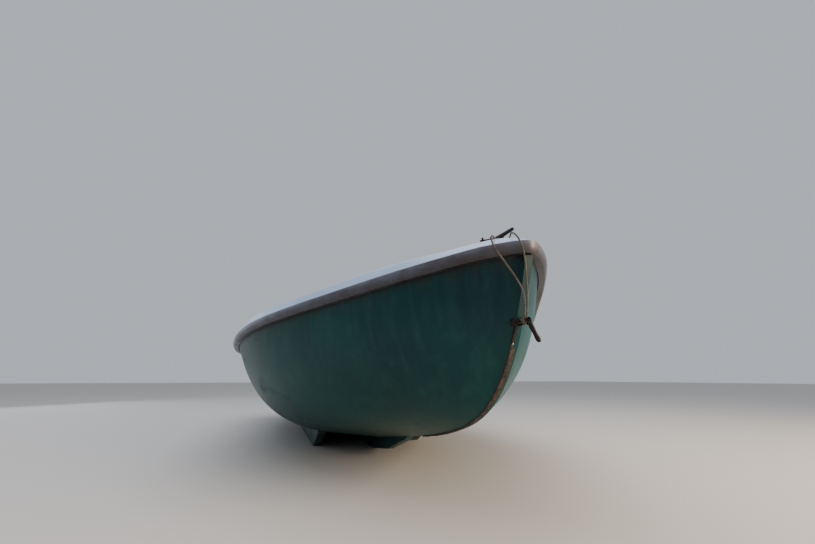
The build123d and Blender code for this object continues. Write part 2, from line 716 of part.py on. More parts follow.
rails = []
for side in (-1, 1):
    rail_y = side * STRETCHER_HALF_SPAN
    rails.append(
        box_between(
            STRETCHER_X - STRETCHER_RAIL_LENGTH / 2,
            STRETCHER_X + STRETCHER_RAIL_LENGTH / 2,
            rail_y - STRETCHER_RAIL_WIDTH / 2,
            rail_y + STRETCHER_RAIL_WIDTH / 2,
            SOLE_HEIGHT,
            SOLE_HEIGHT + STRETCHER_RAIL_HEIGHT,
        )
    )
parts["stretcher_rails"] = Compound(children=[solid for rail in rails for solid in rail.solids()])
rail_top = SOLE_HEIGHT + STRETCHER_RAIL_HEIGHT
bar_half_span = STRETCHER_HALF_SPAN + STRETCHER_RAIL_WIDTH / 2
parts["foot_stretcher"] = rounded_board(
    STRETCHER_X - STRETCHER_THICKNESS / 2,
    STRETCHER_X + STRETCHER_THICKNESS / 2,
    -bar_half_span,
    bar_half_span,
    rail_top,
    rail_top + STRETCHER_WIDTH,
    STRETCHER_EDGE_RADIUS,
)

# Rowlocks: a bracket on the gunwale's inner face, a block that folds down from it, and a horn in the block

lock_side = sheer_at(ROWLOCK_X)
lock_face_y = lock_side.Y - CAP_INBOARD
hinge_y = lock_face_y - HINGE_OUT
hinge_z = lock_side.Z + HINGE_HEIGHT


def rowlock_parts():
    """Port bracket, folding block and horn, stored hanging inside the gunwale."""
    bracket_low = lock_side.Z + CAP_INNER_FACE_LOW + BRACKET_INSET
    bracket_high = lock_side.Z + CAP_HEIGHT - CAP_INNER_EDGE_RADIUS - BRACKET_INSET
    plate = box_between(
        ROWLOCK_X - BRACKET_HALF_LENGTH,
        ROWLOCK_X + BRACKET_HALF_LENGTH,
        lock_face_y - BRACKET_THICKNESS,
        lock_face_y + BRACKET_THICKNESS,
        bracket_low,
        bracket_high,
    )
    ear_inner = BLOCK_HALF_WIDTH + BLOCK_GAP
    bracket = plate
    for side in (-1, 1):
        ear_x = ROWLOCK_X + side * (ear_inner + EAR_THICKNESS / 2)
        ear = box_between(
            ear_x - EAR_THICKNESS / 2,
            ear_x + EAR_THICKNESS / 2,
            hinge_y,
            lock_face_y,
            hinge_z - EAR_RADIUS,
            hinge_z + EAR_RADIUS,
        )
        ear += Pos(ear_x, hinge_y, hinge_z) * Rot(0, 90, 0) * Cylinder(EAR_RADIUS, EAR_THICKNESS)
        bracket += ear
    bracket += rod(
        (ROWLOCK_X - ear_inner - EAR_THICKNESS, hinge_y, hinge_z),
        (ROWLOCK_X + ear_inner + EAR_THICKNESS, hinge_y, hinge_z),
        HINGE_PIN_RADIUS,
    )
    bracket -= gunwale
    hinge = Pos(ROWLOCK_X, hinge_y, hinge_z) * Rot(0, 90, 0)
    block = hinge * Cylinder(BLOCK_HALF_WIDTH, 2 * BLOCK_HALF_WIDTH)
    block += box_between(
        ROWLOCK_X - BLOCK_HALF_WIDTH,
        ROWLOCK_X + BLOCK_HALF_WIDTH,
        hinge_y - BLOCK_HALF_WIDTH,
        hinge_y + BLOCK_HALF_WIDTH,
        hinge_z - BLOCK_LENGTH,
        hinge_z,
    )
    bore = HINGE_PIN_RADIUS + PIN_RUNNING_CLEARANCE
    block -= hinge * Cylinder(bore, 4 * BLOCK_HALF_WIDTH)
    block_low = hinge_z - BLOCK_LENGTH
    socket = SHANK_RADIUS + PIN_RUNNING_CLEARANCE
    block -= rod(
        (ROWLOCK_X, hinge_y, block_low - 1), (ROWLOCK_X, hinge_y, block_low + SHANK_LENGTH + 1), socket
    )
    collar_high = block_low - BLOCK_GAP / 2
    collar_low = collar_high - COLLAR_HEIGHT
    horn = rod(
        (ROWLOCK_X, hinge_y, collar_low), (ROWLOCK_X, hinge_y, block_low + SHANK_LENGTH), SHANK_RADIUS
    )
    horn += rod((ROWLOCK_X, hinge_y, collar_low), (ROWLOCK_X, hinge_y, collar_high), COLLAR_RADIUS)
    bend_r = HORN_INNER_RADIUS + HORN_BAR_RADIUS
    bend_z = collar_low - HORN_SINK - bend_r
    aft_x = ROWLOCK_X - bend_r
    fore_x = ROWLOCK_X + bend_r
    u_path = Wire(
        [
            Edge.make_line((aft_x, hinge_y, bend_z - HORN_ARM), (aft_x, hinge_y, bend_z)),
            Edge.make_three_point_arc(
                (aft_x, hinge_y, bend_z), (ROWLOCK_X, hinge_y, bend_z + bend_r), (fore_x, hinge_y, bend_z)
            ),
            Edge.make_line((fore_x, hinge_y, bend_z), (fore_x, hinge_y, bend_z - HORN_ARM)),
        ]
    )
    horn += bar_along(u_path, HORN_BAR_RADIUS)
    return bracket, block, horn


for base_name, part in zip(("rowlock_bracket", "rowlock_block", "rowlock_horn"), rowlock_parts()):
    parts[base_name + "_port"] = part
    parts[base_name + "_starboard"] = mirrored(part)

# Stem fitting, shackle and hook

fitting = Pos(BALL_X, BALL_Y, FITTING_Z) * Sphere(BALL_RADIUS)
fitting += box_between(
    BALL_X - BALL_RADIUS,
    SHACKLE_X,
    -LUG_HALF_THICKNESS,
    LUG_HALF_THICKNESS,
    FITTING_Z - LUG_RADIUS,
    FITTING_Z + LUG_RADIUS,
)
fitting += rod(
    (SHACKLE_X, -LUG_HALF_THICKNESS, FITTING_Z), (SHACKLE_X, LUG_HALF_THICKNESS, FITTING_Z), LUG_RADIUS
)
fitting -= rod((SHACKLE_X, -LUG_RADIUS, FITTING_Z), (SHACKLE_X, LUG_RADIUS, FITTING_Z), LUG_HOLE)
strap = stem_strip(STRAP_LOW_Z, FITTING_Z, STRAP_LOW_Y, STRAP_HIGH_Y, STRAP_THICKNESS)
parts["stem_fitting"] = fitting - outer + strap

bend_x = SHACKLE_X + SHACKLE_ARM
shackle_path = Wire(
    [
        Edge.make_line((SHACKLE_X, -SHACKLE_HALF_SPAN, FITTING_Z), (bend_x, -SHACKLE_HALF_SPAN, FITTING_Z)),
        Edge.make_three_point_arc(
            (bend_x, -SHACKLE_HALF_SPAN, FITTING_Z),
            (bend_x + SHACKLE_HALF_SPAN, 0, FITTING_Z),
            (bend_x, SHACKLE_HALF_SPAN, FITTING_Z),
        ),
        Edge.make_line((bend_x, SHACKLE_HALF_SPAN, FITTING_Z), (SHACKLE_X, SHACKLE_HALF_SPAN, FITTING_Z)),
    ]
)
shackle = bar_along(shackle_path, SHACKLE_BAR_RADIUS)
pin_end = SHACKLE_HALF_SPAN + SHACKLE_PIN_REACH
shackle += rod((SHACKLE_X, -pin_end, FITTING_Z), (SHACKLE_X, pin_end, FITTING_Z), SHACKLE_PIN_RADIUS)
for side in (-1, 1):
    lug_y = side * SHACKLE_HALF_SPAN
    shackle += rod(
        (SHACKLE_X, lug_y - SHACKLE_BAR_RADIUS, FITTING_Z),
        (SHACKLE_X, lug_y + SHACKLE_BAR_RADIUS, FITTING_Z),
        SHACKLE_EYE_RADIUS,
    )
parts["bow_shackle"] = shackle


def on_bow(angle):
    """Point on the shackle's bow, and the way its bar runs there."""
    a = math.radians(angle)
    point = Vector(bend_x + SHACKLE_HALF_SPAN * math.cos(a), SHACKLE_HALF_SPAN * math.sin(a), FITTING_Z)
    return point, Vector(-math.sin(a), math.cos(a), 0)


eye_point, eye_axis = on_bow(HOOK_ANGLE)
eye_drop = HOOK_EYE_RADIUS - HOOK_BAR_RADIUS - SHACKLE_BAR_RADIUS - FIT_CLEARANCE
eye_centre = eye_point - Vector(0, 0, eye_drop)
hook = Plane(origin=eye_centre, z_dir=eye_axis) * Torus(HOOK_EYE_RADIUS, HOOK_BAR_RADIUS)
lean = math.radians(HOOK_LEAN)
hook_way = Vector(
    math.sin(lean) * math.cos(math.radians(HOOK_BEARING)),
    math.sin(lean) * math.sin(math.radians(HOOK_BEARING)),
    -math.cos(lean),
)
shank_start = eye_centre + hook_way * HOOK_EYE_RADIUS
hook_side = hook_way.cross(eye_axis).normalized()
hook_plane = Plane(origin=shank_start, x_dir=hook_side, z_dir=hook_way)
hook_wires = []
for row in HOOK_SECTIONS:
    section = Face(Wire(Ellipse(row.width / 2, row.thickness / 2).edges()))
    hook_wires.append((hook_plane * Pos(0, 0, row.along) * section).outer_wire())
hook += Solid.make_loft(hook_wires)
hook -= hook_plane * Pos(0, 0, HOOK_HOLE_ALONG) * Rot(90, 0, 0) * Cylinder(HOOK_HOLE_RADIUS, HOOK_WIDTH)
parts["hanging_hook"] = hook

# Knot on the shackle's bow

knot_point, knot_axis = on_bow(KNOT_ANGLE)
parts["rope_hitch"] = Pos(*knot_point) * Sphere(KNOT_RADIUS) - bar_along(
    shackle_path, SHACKLE_BAR_RADIUS + FIT_CLEARANCE
)

# Mooring cleat on the foredeck

deck_here = sheer_at(CLEAT_X)
deck_edge = deck_here.Z + cap_top(share_between(CLEAT_X, "cap_rise")) - DECK_SINK
deck_top = deck_edge + DECK_CAMBER * (deck_here.Y - DECK_TUCK) / DECK_CAMBER_SPAN
cleat = Pos(CLEAT_X, 0, CLEAT_Z) * Sphere(CLEAT_WAIST_RADIUS)
for end in (-1, 1):
    horn = Cone(
        CLEAT_WAIST_RADIUS,
        CLEAT_TIP_RADIUS,
        CLEAT_HALF_LENGTH,
        align=(Align.CENTER, Align.CENTER, Align.MIN),
    )
    cleat += Pos(CLEAT_X, 0, CLEAT_Z) * Rot(0, end * 90, 0) * horn
    cleat += Pos(CLEAT_X + end * CLEAT_HALF_LENGTH, 0, CLEAT_Z) * Sphere(CLEAT_TIP_RADIUS)
    foot_x = CLEAT_X + end * CLEAT_FOOT_SPACING / 2
    foot_top = CLEAT_Z - CLEAT_FOOT_TUCK
    cleat += rod((foot_x, 0, deck_top - CLEAT_SINK), (foot_x, 0, foot_top), CLEAT_FOOT_RADIUS)
plate_half = CLEAT_FOOT_SPACING / 2 + CLEAT_PLATE_MARGIN
cleat += box_between(
    CLEAT_X - plate_half,
    CLEAT_X + plate_half,
    -CLEAT_PLATE_HALF_WIDTH,
    CLEAT_PLATE_HALF_WIDTH,
    deck_top - CLEAT_SINK,
    deck_top + CLEAT_PLATE_THICKNESS,
)
parts["mooring_cleat"] = cleat - parts["foredeck"]

# Transom fittings

pad_centre_z = SHEER_POINTS[0].Z - PAD_TOP_DROP - PAD_HEIGHT / 2
outer_plane = transom_plane(0)
inner_plane = transom_plane(inner_skin + FIT_CLEARANCE)


def on_transom(plane, z):
    """Distance up a transom plane from its origin to a height z."""
    return (z - plane.origin.Z) / abs(plane.y_dir.Z)


def transom_plate(plane, y, z, width, height, thickness):
    """Plate standing on a transom plane, its thickness along the plane's normal."""
    up = on_transom(plane, z)
    sign = 1 if plane.y_dir.Z > 0 else -1
    return plane * Pos(y, sign * up, thickness / 2) * Box(width, height, abs(thickness))


parts["outboard_pad_inner"] = transom_plate(
    inner_plane, 0, pad_centre_z, 2 * PAD_HALF_WIDTH, PAD_HEIGHT, PAD_THICKNESS
)
parts["outboard_pad_outer"] = transom_plate(
    outer_plane, 0, pad_centre_z, 2 * PAD_HALF_WIDTH, PAD_HEIGHT, -PAD_THICKNESS
)

# Inspection cover on the bulkhead

cover_x = BULKHEAD_X - LINER_WALL - FIT_CLEARANCE
parts["inspection_cover"] = rod(
    (cover_x - COVER_THICKNESS, 0, COVER_Z), (cover_x, 0, COVER_Z), COVER_RADIUS
)

# Rope: turns round the cleat's fore foot, and two legs over the gunwale

turns_x = CLEAT_X + CLEAT_FOOT_SPACING / 2
turns_low = deck_top + CLEAT_PLATE_THICKNESS + TURNS_LIFT
turns_inner = CLEAT_FOOT_RADIUS + FIT_CLEARANCE
turns_outer = turns_inner + ROPE_DIAMETER
turns_high = turns_low + TURNS_COUNT * ROPE_DIAMETER
turns = rod((turns_x, 0, turns_low), (turns_x, 0, turns_high), turns_outer)
parts["rope_turns"] = turns - rod((turns_x, 0, turns_low - 1), (turns_x, 0, turns_high + 1), turns_inner)

# Points along each leg's middle line, from the cleat to the shackle
LEG_ROUTES = {
    "rope_leg_starboard": [
        (3208.5, -13.0, LEG_START_Z),
        (3240.0, -44.0, 699.0),
        (3268.0, -73.0, 700.0),
        (3283.0, -85.0, 669.0),
        (3289.0, -62.0, 630.0),
        (3295.0, -28.0, 580.0),
        (3297.0, -10.0, 540.0),
        (3290.5, -13.5, 495.0),
    ],
    "rope_leg_port": [
        (3217.4, -2.0, LEG_START_Z),
        (3262.0, -14.0, 702.0),
        (3293.0, -32.0, 704.0),
        (3323.0, -34.0, 676.0),
        (3317.0, -17.0, 634.0),
        (3302.0, -8.0, 590.0),
        (3298.0, -4.0, 546.0),
        (3291.5, -7.5, 495.0),
    ],
}


def rope_leg(points):
    """Round rope along straight runs joined by arcs, with each arc's radius."""
    corners = [Vector(*point) for point in points]
    radii = []
    for before, corner, after in zip(corners, corners[1:], corners[2:]):
        first = corner - before
        second = after - corner
        turn = math.radians(first.get_angle(second))
        radii.append(RADIUS_SHARE * min(first.length, second.length) / math.tan(turn / 2))
    path = FilletPolyline(*corners, radius=radii)
    return bar_along(path, ROPE_DIAMETER / 2), path.length, radii


for name, points in LEG_ROUTES.items():
    leg, length, radii = rope_leg(points)
    parts[name] = leg
    section = math.pi * ROPE_DIAMETER**2 / 4
    print(name, "length", round(length, 1), "radii", [round(radius, 1) for radius in radii])
    print(name, "volume", round(leg.volume), "section times length", round(section * length))

# Fairleads on the gunwale beside the cleat


def fairlead(side):
    """Two short horns on a plate along the gunwale's top, a rope's width apart."""
    here = sheer_at(FAIRLEAD_X)
    ahead = sheer_at(FAIRLEAD_X + FAIRLEAD_STEP)
    way = Vector(ahead.X - here.X, ahead.Y - here.Y, 0).normalized()
    inward = Vector(way.Y, -way.X, 0)
    cut = gunwale.intersect(Plane(origin=(FAIRLEAD_X, 0, 0), z_dir=(1, 0, 0)))
    top = max(vertex.Z for vertex in cut.vertices())
    centre = Vector(here.X, here.Y, top) + inward * FAIRLEAD_INSET
    plane = Plane(origin=centre, x_dir=way, z_dir=(0, 0, 1))
    body = plane * Box(FAIRLEAD_LENGTH, FAIRLEAD_WIDTH, 2 * FAIRLEAD_PLATE)
    for end in (-1, 1):
        foot = plane * Pos(end * FAIRLEAD_GAP, 0, FAIRLEAD_HORN / 2)
        body += foot * Cylinder(FAIRLEAD_HORN_RADIUS, FAIRLEAD_HORN)
        body += plane * Pos(end * FAIRLEAD_GAP, 0, FAIRLEAD_HORN) * Sphere(FAIRLEAD_HORN_RADIUS)
    body -= gunwale
    return body if side > 0 else mirrored(body)


parts["fairlead_port"] = fairlead(1)
parts["fairlead_starboard"] = fairlead(-1)

# Stern eyes and drain plug on the transom


def transom_eye(side):
    """U-shaped eye with two round feet, standing on the transom."""
    up = on_transom(outer_plane, EYE_Z)
    base = outer_plane * Pos(side * EYE_OFFSET, up, 0)
    low = -EYE_REACH
    path = Wire(
        [
            Edge.make_line((0, -EYE_HALF_SPAN, 0), (0, -EYE_HALF_SPAN, low)),
            Edge.make_three_point_arc(
                (0, -EYE_HALF_SPAN, low), (0, 0, low - EYE_HALF_SPAN), (0, EYE_HALF_SPAN, low)
            ),
            Edge.make_line((0, EYE_HALF_SPAN, low), (0, EYE_HALF_SPAN, 0)),
        ]
    )
    eye = bar_along(path, EYE_BAR_RADIUS)
    for end in (-1, 1):
        foot = Pos(0, end * EYE_HALF_SPAN, -EYE_FOOT_THICKNESS / 2)
        eye += foot * Cylinder(EYE_FOOT_RADIUS, EYE_FOOT_THICKNESS)
    return base * eye


parts["stern_eye_port"] = transom_eye(1)
parts["stern_eye_starboard"] = transom_eye(-1)
drain_up = on_transom(outer_plane, DRAIN_Z)
parts["drain_plug"] = outer_plane * Pos(DRAIN_OFFSET, drain_up, -DRAIN_THICKNESS / 2) * Cylinder(
    DRAIN_RADIUS, DRAIN_THICKNESS
)

print("rowlock hinge", round(hinge_y, 3), round(hinge_z, 3))
for name in ("outboard_pad_inner", "outboard_pad_outer"):
    print(name, "centre", parts[name].center(), "plane", outer_plane.z_dir)

for name, part in parts.items():
    box = part.bounding_box()
    print(name, len(part.solids()), round(part.volume / 1e6, 3), box.min, box.max)

os.makedirs("parts", exist_ok=True)
for name, part in parts.items():
    export_step(Pos(-MIDDLE_X, 0, 0) * part, f"parts/{name}.step")
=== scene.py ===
"""Looks of a glass-reinforced plastic rowing boat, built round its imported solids. Metres throughout."""
import logging
import math
from dataclasses import dataclass, replace
from enum import Enum
from typing import Any, Optional, Sequence

import bmesh
import bpy
from bpy.types import NodeSocket, NodeTree
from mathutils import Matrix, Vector
from mathutils.bvhtree import BVHTree


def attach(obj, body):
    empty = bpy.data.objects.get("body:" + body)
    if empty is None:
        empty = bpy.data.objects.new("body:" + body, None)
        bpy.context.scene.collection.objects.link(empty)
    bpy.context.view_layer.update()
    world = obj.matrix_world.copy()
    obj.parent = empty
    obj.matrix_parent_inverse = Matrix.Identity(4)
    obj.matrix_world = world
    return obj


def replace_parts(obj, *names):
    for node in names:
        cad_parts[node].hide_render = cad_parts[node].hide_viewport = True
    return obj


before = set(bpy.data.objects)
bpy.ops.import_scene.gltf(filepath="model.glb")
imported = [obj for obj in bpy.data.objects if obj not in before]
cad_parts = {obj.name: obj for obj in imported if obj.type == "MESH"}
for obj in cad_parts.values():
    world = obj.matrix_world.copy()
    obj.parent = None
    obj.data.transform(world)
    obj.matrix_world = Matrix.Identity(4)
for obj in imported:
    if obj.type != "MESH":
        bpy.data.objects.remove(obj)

log = logging.getLogger("rowing_boat")

MM = 0.001
BOAT = "boat"
HALF_LENGTH_MM = 1650.0

Point = tuple[float, float, float]
Span = tuple[float, float]


def in_frame(at: Point) -> Point:
    """Turn millimetres from the transom into the boat's frame, in metres."""
    return ((at[0] - HALF_LENGTH_MM) * MM, at[1] * MM, at[2] * MM)


# Colour and node helpers

SRGB_KNEE = 0.04045
SRGB_SLOPE = 12.92
SRGB_OFFSET = 0.055
SRGB_GAMMA = 2.4


def linear_rgba(code: str) -> tuple[float, float, float, float]:
    """Turn an sRGB hex code into linear colour.

    Args:
        code: Colour such as "#1f6f70".

    Returns:
        Red, green, blue and alpha, each from 0 to 1.
    """
    channels = [int(code[i : i + 2], 16) / 255 for i in (1, 3, 5)]
    linear = [
        c / SRGB_SLOPE if c <= SRGB_KNEE else ((c + SRGB_OFFSET) / (1 + SRGB_OFFSET)) ** SRGB_GAMMA
        for c in channels
    ]
    return (linear[0], linear[1], linear[2], 1.0)


def add_node(
    tree: NodeTree,
    kind: str,
    links: Optional[dict[Any, NodeSocket]] = None,
    values: Optional[dict[Any, Any]] = None,
    **settings: Any,
) -> bpy.types.Node:
    """Add one node with its settings, constant sockets and incoming links.

    Args:
        tree: Node tree that takes the node.
        kind: Blender's identifier of the node's type.
        links: Source socket for each of the node's inputs, by name or index.
        values: Constant for each of the node's inputs, by name or index.
        **settings: The node's own properties.

    Returns:
        The new node.
    """
    node = tree.nodes.new(kind)
    for name, value in settings.items():
        setattr(node, name, value)
    for socket, value in (values or {}).items():
        node.inputs[socket].default_value = value
    for socket, source in (links or {}).items():
        tree.links.new(source, node.inputs[socket])
    return node


# Masks: numbers that vary over the surface and say where a layer of a finish shows


@dataclass(frozen=True, kw_only=True)
class Mask:
    """A reading of the surface whose span of levels is mapped to another, held at its ends."""

    span: Span = (0.35, 0.65)
    to: Span = (0.0, 1.0)

    def source(self, tree: NodeTree) -> NodeSocket:
        """Give the reading's socket. Each kind of mask builds its own nodes."""
        raise NotImplementedError

    def build(self, tree: NodeTree) -> NodeSocket:
        """Build the mask's nodes.

        Args:
            tree: The material's node tree.

        Returns:
            The mask's socket.
        """
        node = add_node(
            tree,
            "ShaderNodeMapRange",
            links={"Value": self.source(tree)},
            values={
                "From Min": self.span[0],
                "From Max": self.span[1],
                "To Min": self.to[0],
                "To Max": self.to[1],
            },
            clamp=True,
        )
        return node.outputs["Result"]


NOISE_ROUGHNESS = 0.55


@dataclass(frozen=True, kw_only=True)
class Cloud(Mask):
    """Cloudy patches: the rough size of one, its shrinking along each axis, and its detail."""

    size_mm: float
    stretch: Point = (1.0, 1.0, 1.0)
    detail: float = 3.0

    def source(self, tree: NodeTree) -> NodeSocket:
        """Build noise on stretched object coordinates.

        Args:
            tree: The material's node tree.

        Returns:
            The noise's socket.
        """
        coordinates = add_node(tree, "ShaderNodeTexCoord")
        mapping = add_node(
            tree,
            "ShaderNodeMapping",
            links={"Vector": coordinates.outputs["Object"]},
            values={"Scale": self.stretch},
        )
        noise = add_node(
            tree,
            "ShaderNodeTexNoise",
            links={"Vector": mapping.outputs["Vector"]},
            values={"Scale": 1 / (self.size_mm * MM), "Detail": self.detail, "Roughness": NOISE_ROUGHNESS},
        )
        return noise.outputs["Fac"]


@dataclass(frozen=True, kw_only=True)
class Spangle(Mask):
    """Flat crystals of one size, each with its own level."""

    size_mm: float

    def source(self, tree: NodeTree) -> NodeSocket:
        """Build cells on object coordinates.

        Args:
            tree: The material's node tree.

        Returns:
            The socket of the cells' levels.
        """
        coordinates = add_node(tree, "ShaderNodeTexCoord")
        cells = add_node(
            tree,
            "ShaderNodeTexVoronoi",
            links={"Vector": coordinates.outputs["Object"]},
            values={"Scale": 1 / (self.size_mm * MM)},
        )
        return cells.outputs["Color"]


def object_axis(tree: NodeTree, axis: str) -> NodeSocket:
    """Give one object coordinate.

    Args:
        tree: The material's node tree.
        axis: "X", "Y" or "Z".

    Returns:
        The coordinate's socket.
    """
    coordinates = add_node(tree, "ShaderNodeTexCoord")
    split = add_node(tree, "ShaderNodeSeparateXYZ", links={0: coordinates.outputs["Object"]})
    return split.outputs[axis]


@dataclass(frozen=True, kw_only=True)
class Boards(Mask):
    """Grooves athwart a seat: 1 where the distance from a groove's middle falls below the span's end."""

    half_board_mm: float

    def source(self, tree: NodeTree) -> NodeSocket:
        """Build the distance from the nearest groove's middle, in half boards.

        Args:
            tree: The material's node tree.

        Returns:
            The distance's socket.
        """
        along = add_node(
            tree,
            "ShaderNodeMath",
            links={0: object_axis(tree, "X")},
            values={1: 1 / (self.half_board_mm * MM)},
            operation="MULTIPLY",
        )
        apart = add_node(
            tree,
            "ShaderNodeMath",
            links={0: along.outputs[0]},
            values={1: 1.0},
            operation="PINGPONG",
        )
        return apart.outputs[0]


class Reading(Enum):
    """What a band is read from."""

    FORWARD = "X"
    UP = "Z"
    BELOW_SHEER = "metres below the sheer line"
    OUTWARD = "how far the surface faces away from the boat's middle"
    EDGE = "how sharp the surface's edge is"


# The sheer line: share of the hull's length from the transom, and height in metres
SHEER_LINE = (
    (0.000, 0.5578), (0.076, 0.5356), (0.151, 0.5181), (0.227, 0.5052),
    (0.303, 0.5015), (0.455, 0.4988), (0.606, 0.5066), (0.733, 0.5467),
    (0.842, 0.5896), (0.921, 0.6205), (0.970, 0.6389), (0.996, 0.6491),
)


@dataclass(frozen=True, kw_only=True)
class Band(Mask):
    """A band that fades along one reading."""

    reading: Reading

    def source(self, tree: NodeTree) -> NodeSocket:
        """Build the reading's nodes.

        Args:
            tree: The material's node tree.

        Returns:
            The reading's socket.
        """
        if self.reading is Reading.BELOW_SHEER:
            return self.below_sheer(tree)
        if self.reading in (Reading.FORWARD, Reading.UP):
            return object_axis(tree, self.reading.value)
        geometry = add_node(tree, "ShaderNodeNewGeometry")
        if self.reading is Reading.EDGE:
            return geometry.outputs["Pointiness"]
        facing = add_node(tree, "ShaderNodeSeparateXYZ", links={0: geometry.outputs["True Normal"]})
        side = add_node(tree, "ShaderNodeMath", links={0: object_axis(tree, "Y")}, operation="SIGN")
        outward = add_node(
            tree,
            "ShaderNodeMath",
            links={0: facing.outputs["Y"], 1: side.outputs[0]},
            operation="MULTIPLY",
        )
        return outward.outputs[0]

    def below_sheer(self, tree: NodeTree) -> NodeSocket:
        """Build how far a point lies below the sheer line.

        Args:
            tree: The material's node tree.

        Returns:
            The depth's socket, in metres.
        """
        half_length = HALF_LENGTH_MM * MM
        along = add_node(
            tree,
            "ShaderNodeMapRange",
            links={"Value": object_axis(tree, "X")},
            values={"From Min": -half_length, "From Max": half_length},
            clamp=True,
        )
        line = add_node(tree, "ShaderNodeFloatCurve", links={"Value": along.outputs["Result"]})
        points = line.mapping.curves[0].points
        points[0].location = SHEER_LINE[0]
        points[1].location = SHEER_LINE[-1]
        for share, height in SHEER_LINE[1:-1]:
            points.new(share, height)
        line.mapping.update()
        depth = add_node(
            tree,
            "ShaderNodeMath",
            links={0: line.outputs["Value"], 1: object_axis(tree, "Z")},
            operation="SUBTRACT",
        )
        return depth.outputs[0]


# Finishes

# Sockets of the Mix node when it mixes colours
MIX_FACTOR = 0
MIX_A = 6
MIX_B = 7
MIX_RESULT = 2

POLYESTER_IOR = 1.5
VARNISH_IOR = 1.5
ABS_IOR = 1.53


@dataclass(frozen=True)
class Layer:
    """A colour laid over what is under it, by a share of the product of its masks."""

    tint: str
    masks: tuple[Mask, ...]
    share: float = 1.0


@dataclass(frozen=True)
class Relief:
    """A mask that raises the surface by up to its depth."""

    mask: Mask
    depth_mm: float


@dataclass(frozen=True)
class Finish:
    """A base colour, layers over it, gloss and relief. An IOR of None stays Blender's own."""

    name: str
    slot: str
    base: str = "#808080"
    roughness: float = 0.5
    metallic: float = 0.0
    sheen: float = 0.0
    specular: float = 0.5
    ior: Optional[float] = None

    def layers(self) -> tuple[Layer, ...]:
        """Give the colour layers, the lowest first."""
        return ()

    def gloss(self) -> Optional[Mask]:
        """Give the mask that is the roughness, or None where the roughness is even."""
        return None

    def reliefs(self) -> tuple[Relief, ...]:
        """Give the reliefs, the lowest first."""
        return ()

    def material(self) -> bpy.types.Material:
        """Build the finish's material once.

        Returns:
            The material.
        """
        found = bpy.data.materials.get(self.name)
        if found is not None:
            return found
        made = bpy.data.materials.new(self.name)
        made.use_nodes = True
        tree = made.node_tree
        tree.nodes.clear()
        constants = {
            "Roughness": self.roughness,
            "Metallic": self.metallic,
            "Sheen Weight": self.sheen,
            "Specular IOR Level": self.specular,
        }
        if self.ior is not None:
            constants["IOR"] = self.ior
        surface = add_node(tree, "ShaderNodeBsdfPrincipled", values=constants)
        add_node(tree, "ShaderNodeOutputMaterial", links={"Surface": surface.outputs["BSDF"]})
        masks = self.mask_sockets(tree)
        tree.links.new(self.colour(tree, masks), surface.inputs["Base Color"])
        if self.gloss() is not None:
            tree.links.new(masks[self.gloss()], surface.inputs["Roughness"])
        tree.links.new(self.normal(tree, masks), surface.inputs["Normal"])
        return made

    def mask_sockets(self, tree: NodeTree) -> dict[Mask, NodeSocket]:
        """Build each of the finish's masks once.

        Args:
            tree: The material's node tree.

        Returns:
            Each mask's socket.
        """
        masks = [mask for layer in self.layers() for mask in layer.masks]
        masks += [relief.mask for relief in self.reliefs()]
        if self.gloss() is not None:
            masks.append(self.gloss())
        return {mask: mask.build(tree) for mask in dict.fromkeys(masks)}

    def colour(self, tree: NodeTree, masks: dict[Mask, NodeSocket]) -> NodeSocket:
        """Lay the layers over the base colour.

        Args:
            tree: The material's node tree.
            masks: Each mask's socket.

        Returns:
            The colour's socket.
        """
        under = None
        for layer in self.layers():
            factor = masks[layer.masks[0]]
            for mask in layer.masks[1:]:
                links = {0: factor, 1: masks[mask]}
                factor = add_node(tree, "ShaderNodeMath", links, operation="MULTIPLY").outputs[0]
            if layer.share < 1:
                links = {0: factor}
                values = {1: layer.share}
                factor = add_node(tree, "ShaderNodeMath", links, values, operation="MULTIPLY").outputs[0]
            links = {MIX_FACTOR: factor}
            values = {MIX_B: linear_rgba(layer.tint)}
            if under is None:
                values[MIX_A] = linear_rgba(self.base)
            else:
                links[MIX_A] = under
            under = add_node(tree, "ShaderNodeMix", links, values, data_type="RGBA").outputs[MIX_RESULT]
        return under

    def normal(self, tree: NodeTree, masks: dict[Mask, NodeSocket]) -> NodeSocket:
        """Raise the surface by each relief, one over the other.

        Args:
            tree: The material's node tree.
            masks: Each mask's socket.

        Returns:
            The normal's socket.
        """
        under = None
        for relief in self.reliefs():
            links = {"Height": masks[relief.mask]}
            if under is not None:
                links["Normal"] = under
            values = {"Strength": 1.0, "Distance": relief.depth_mm * MM}
            under = add_node(tree, "ShaderNodeBump", links, values).outputs["Normal"]
        return under


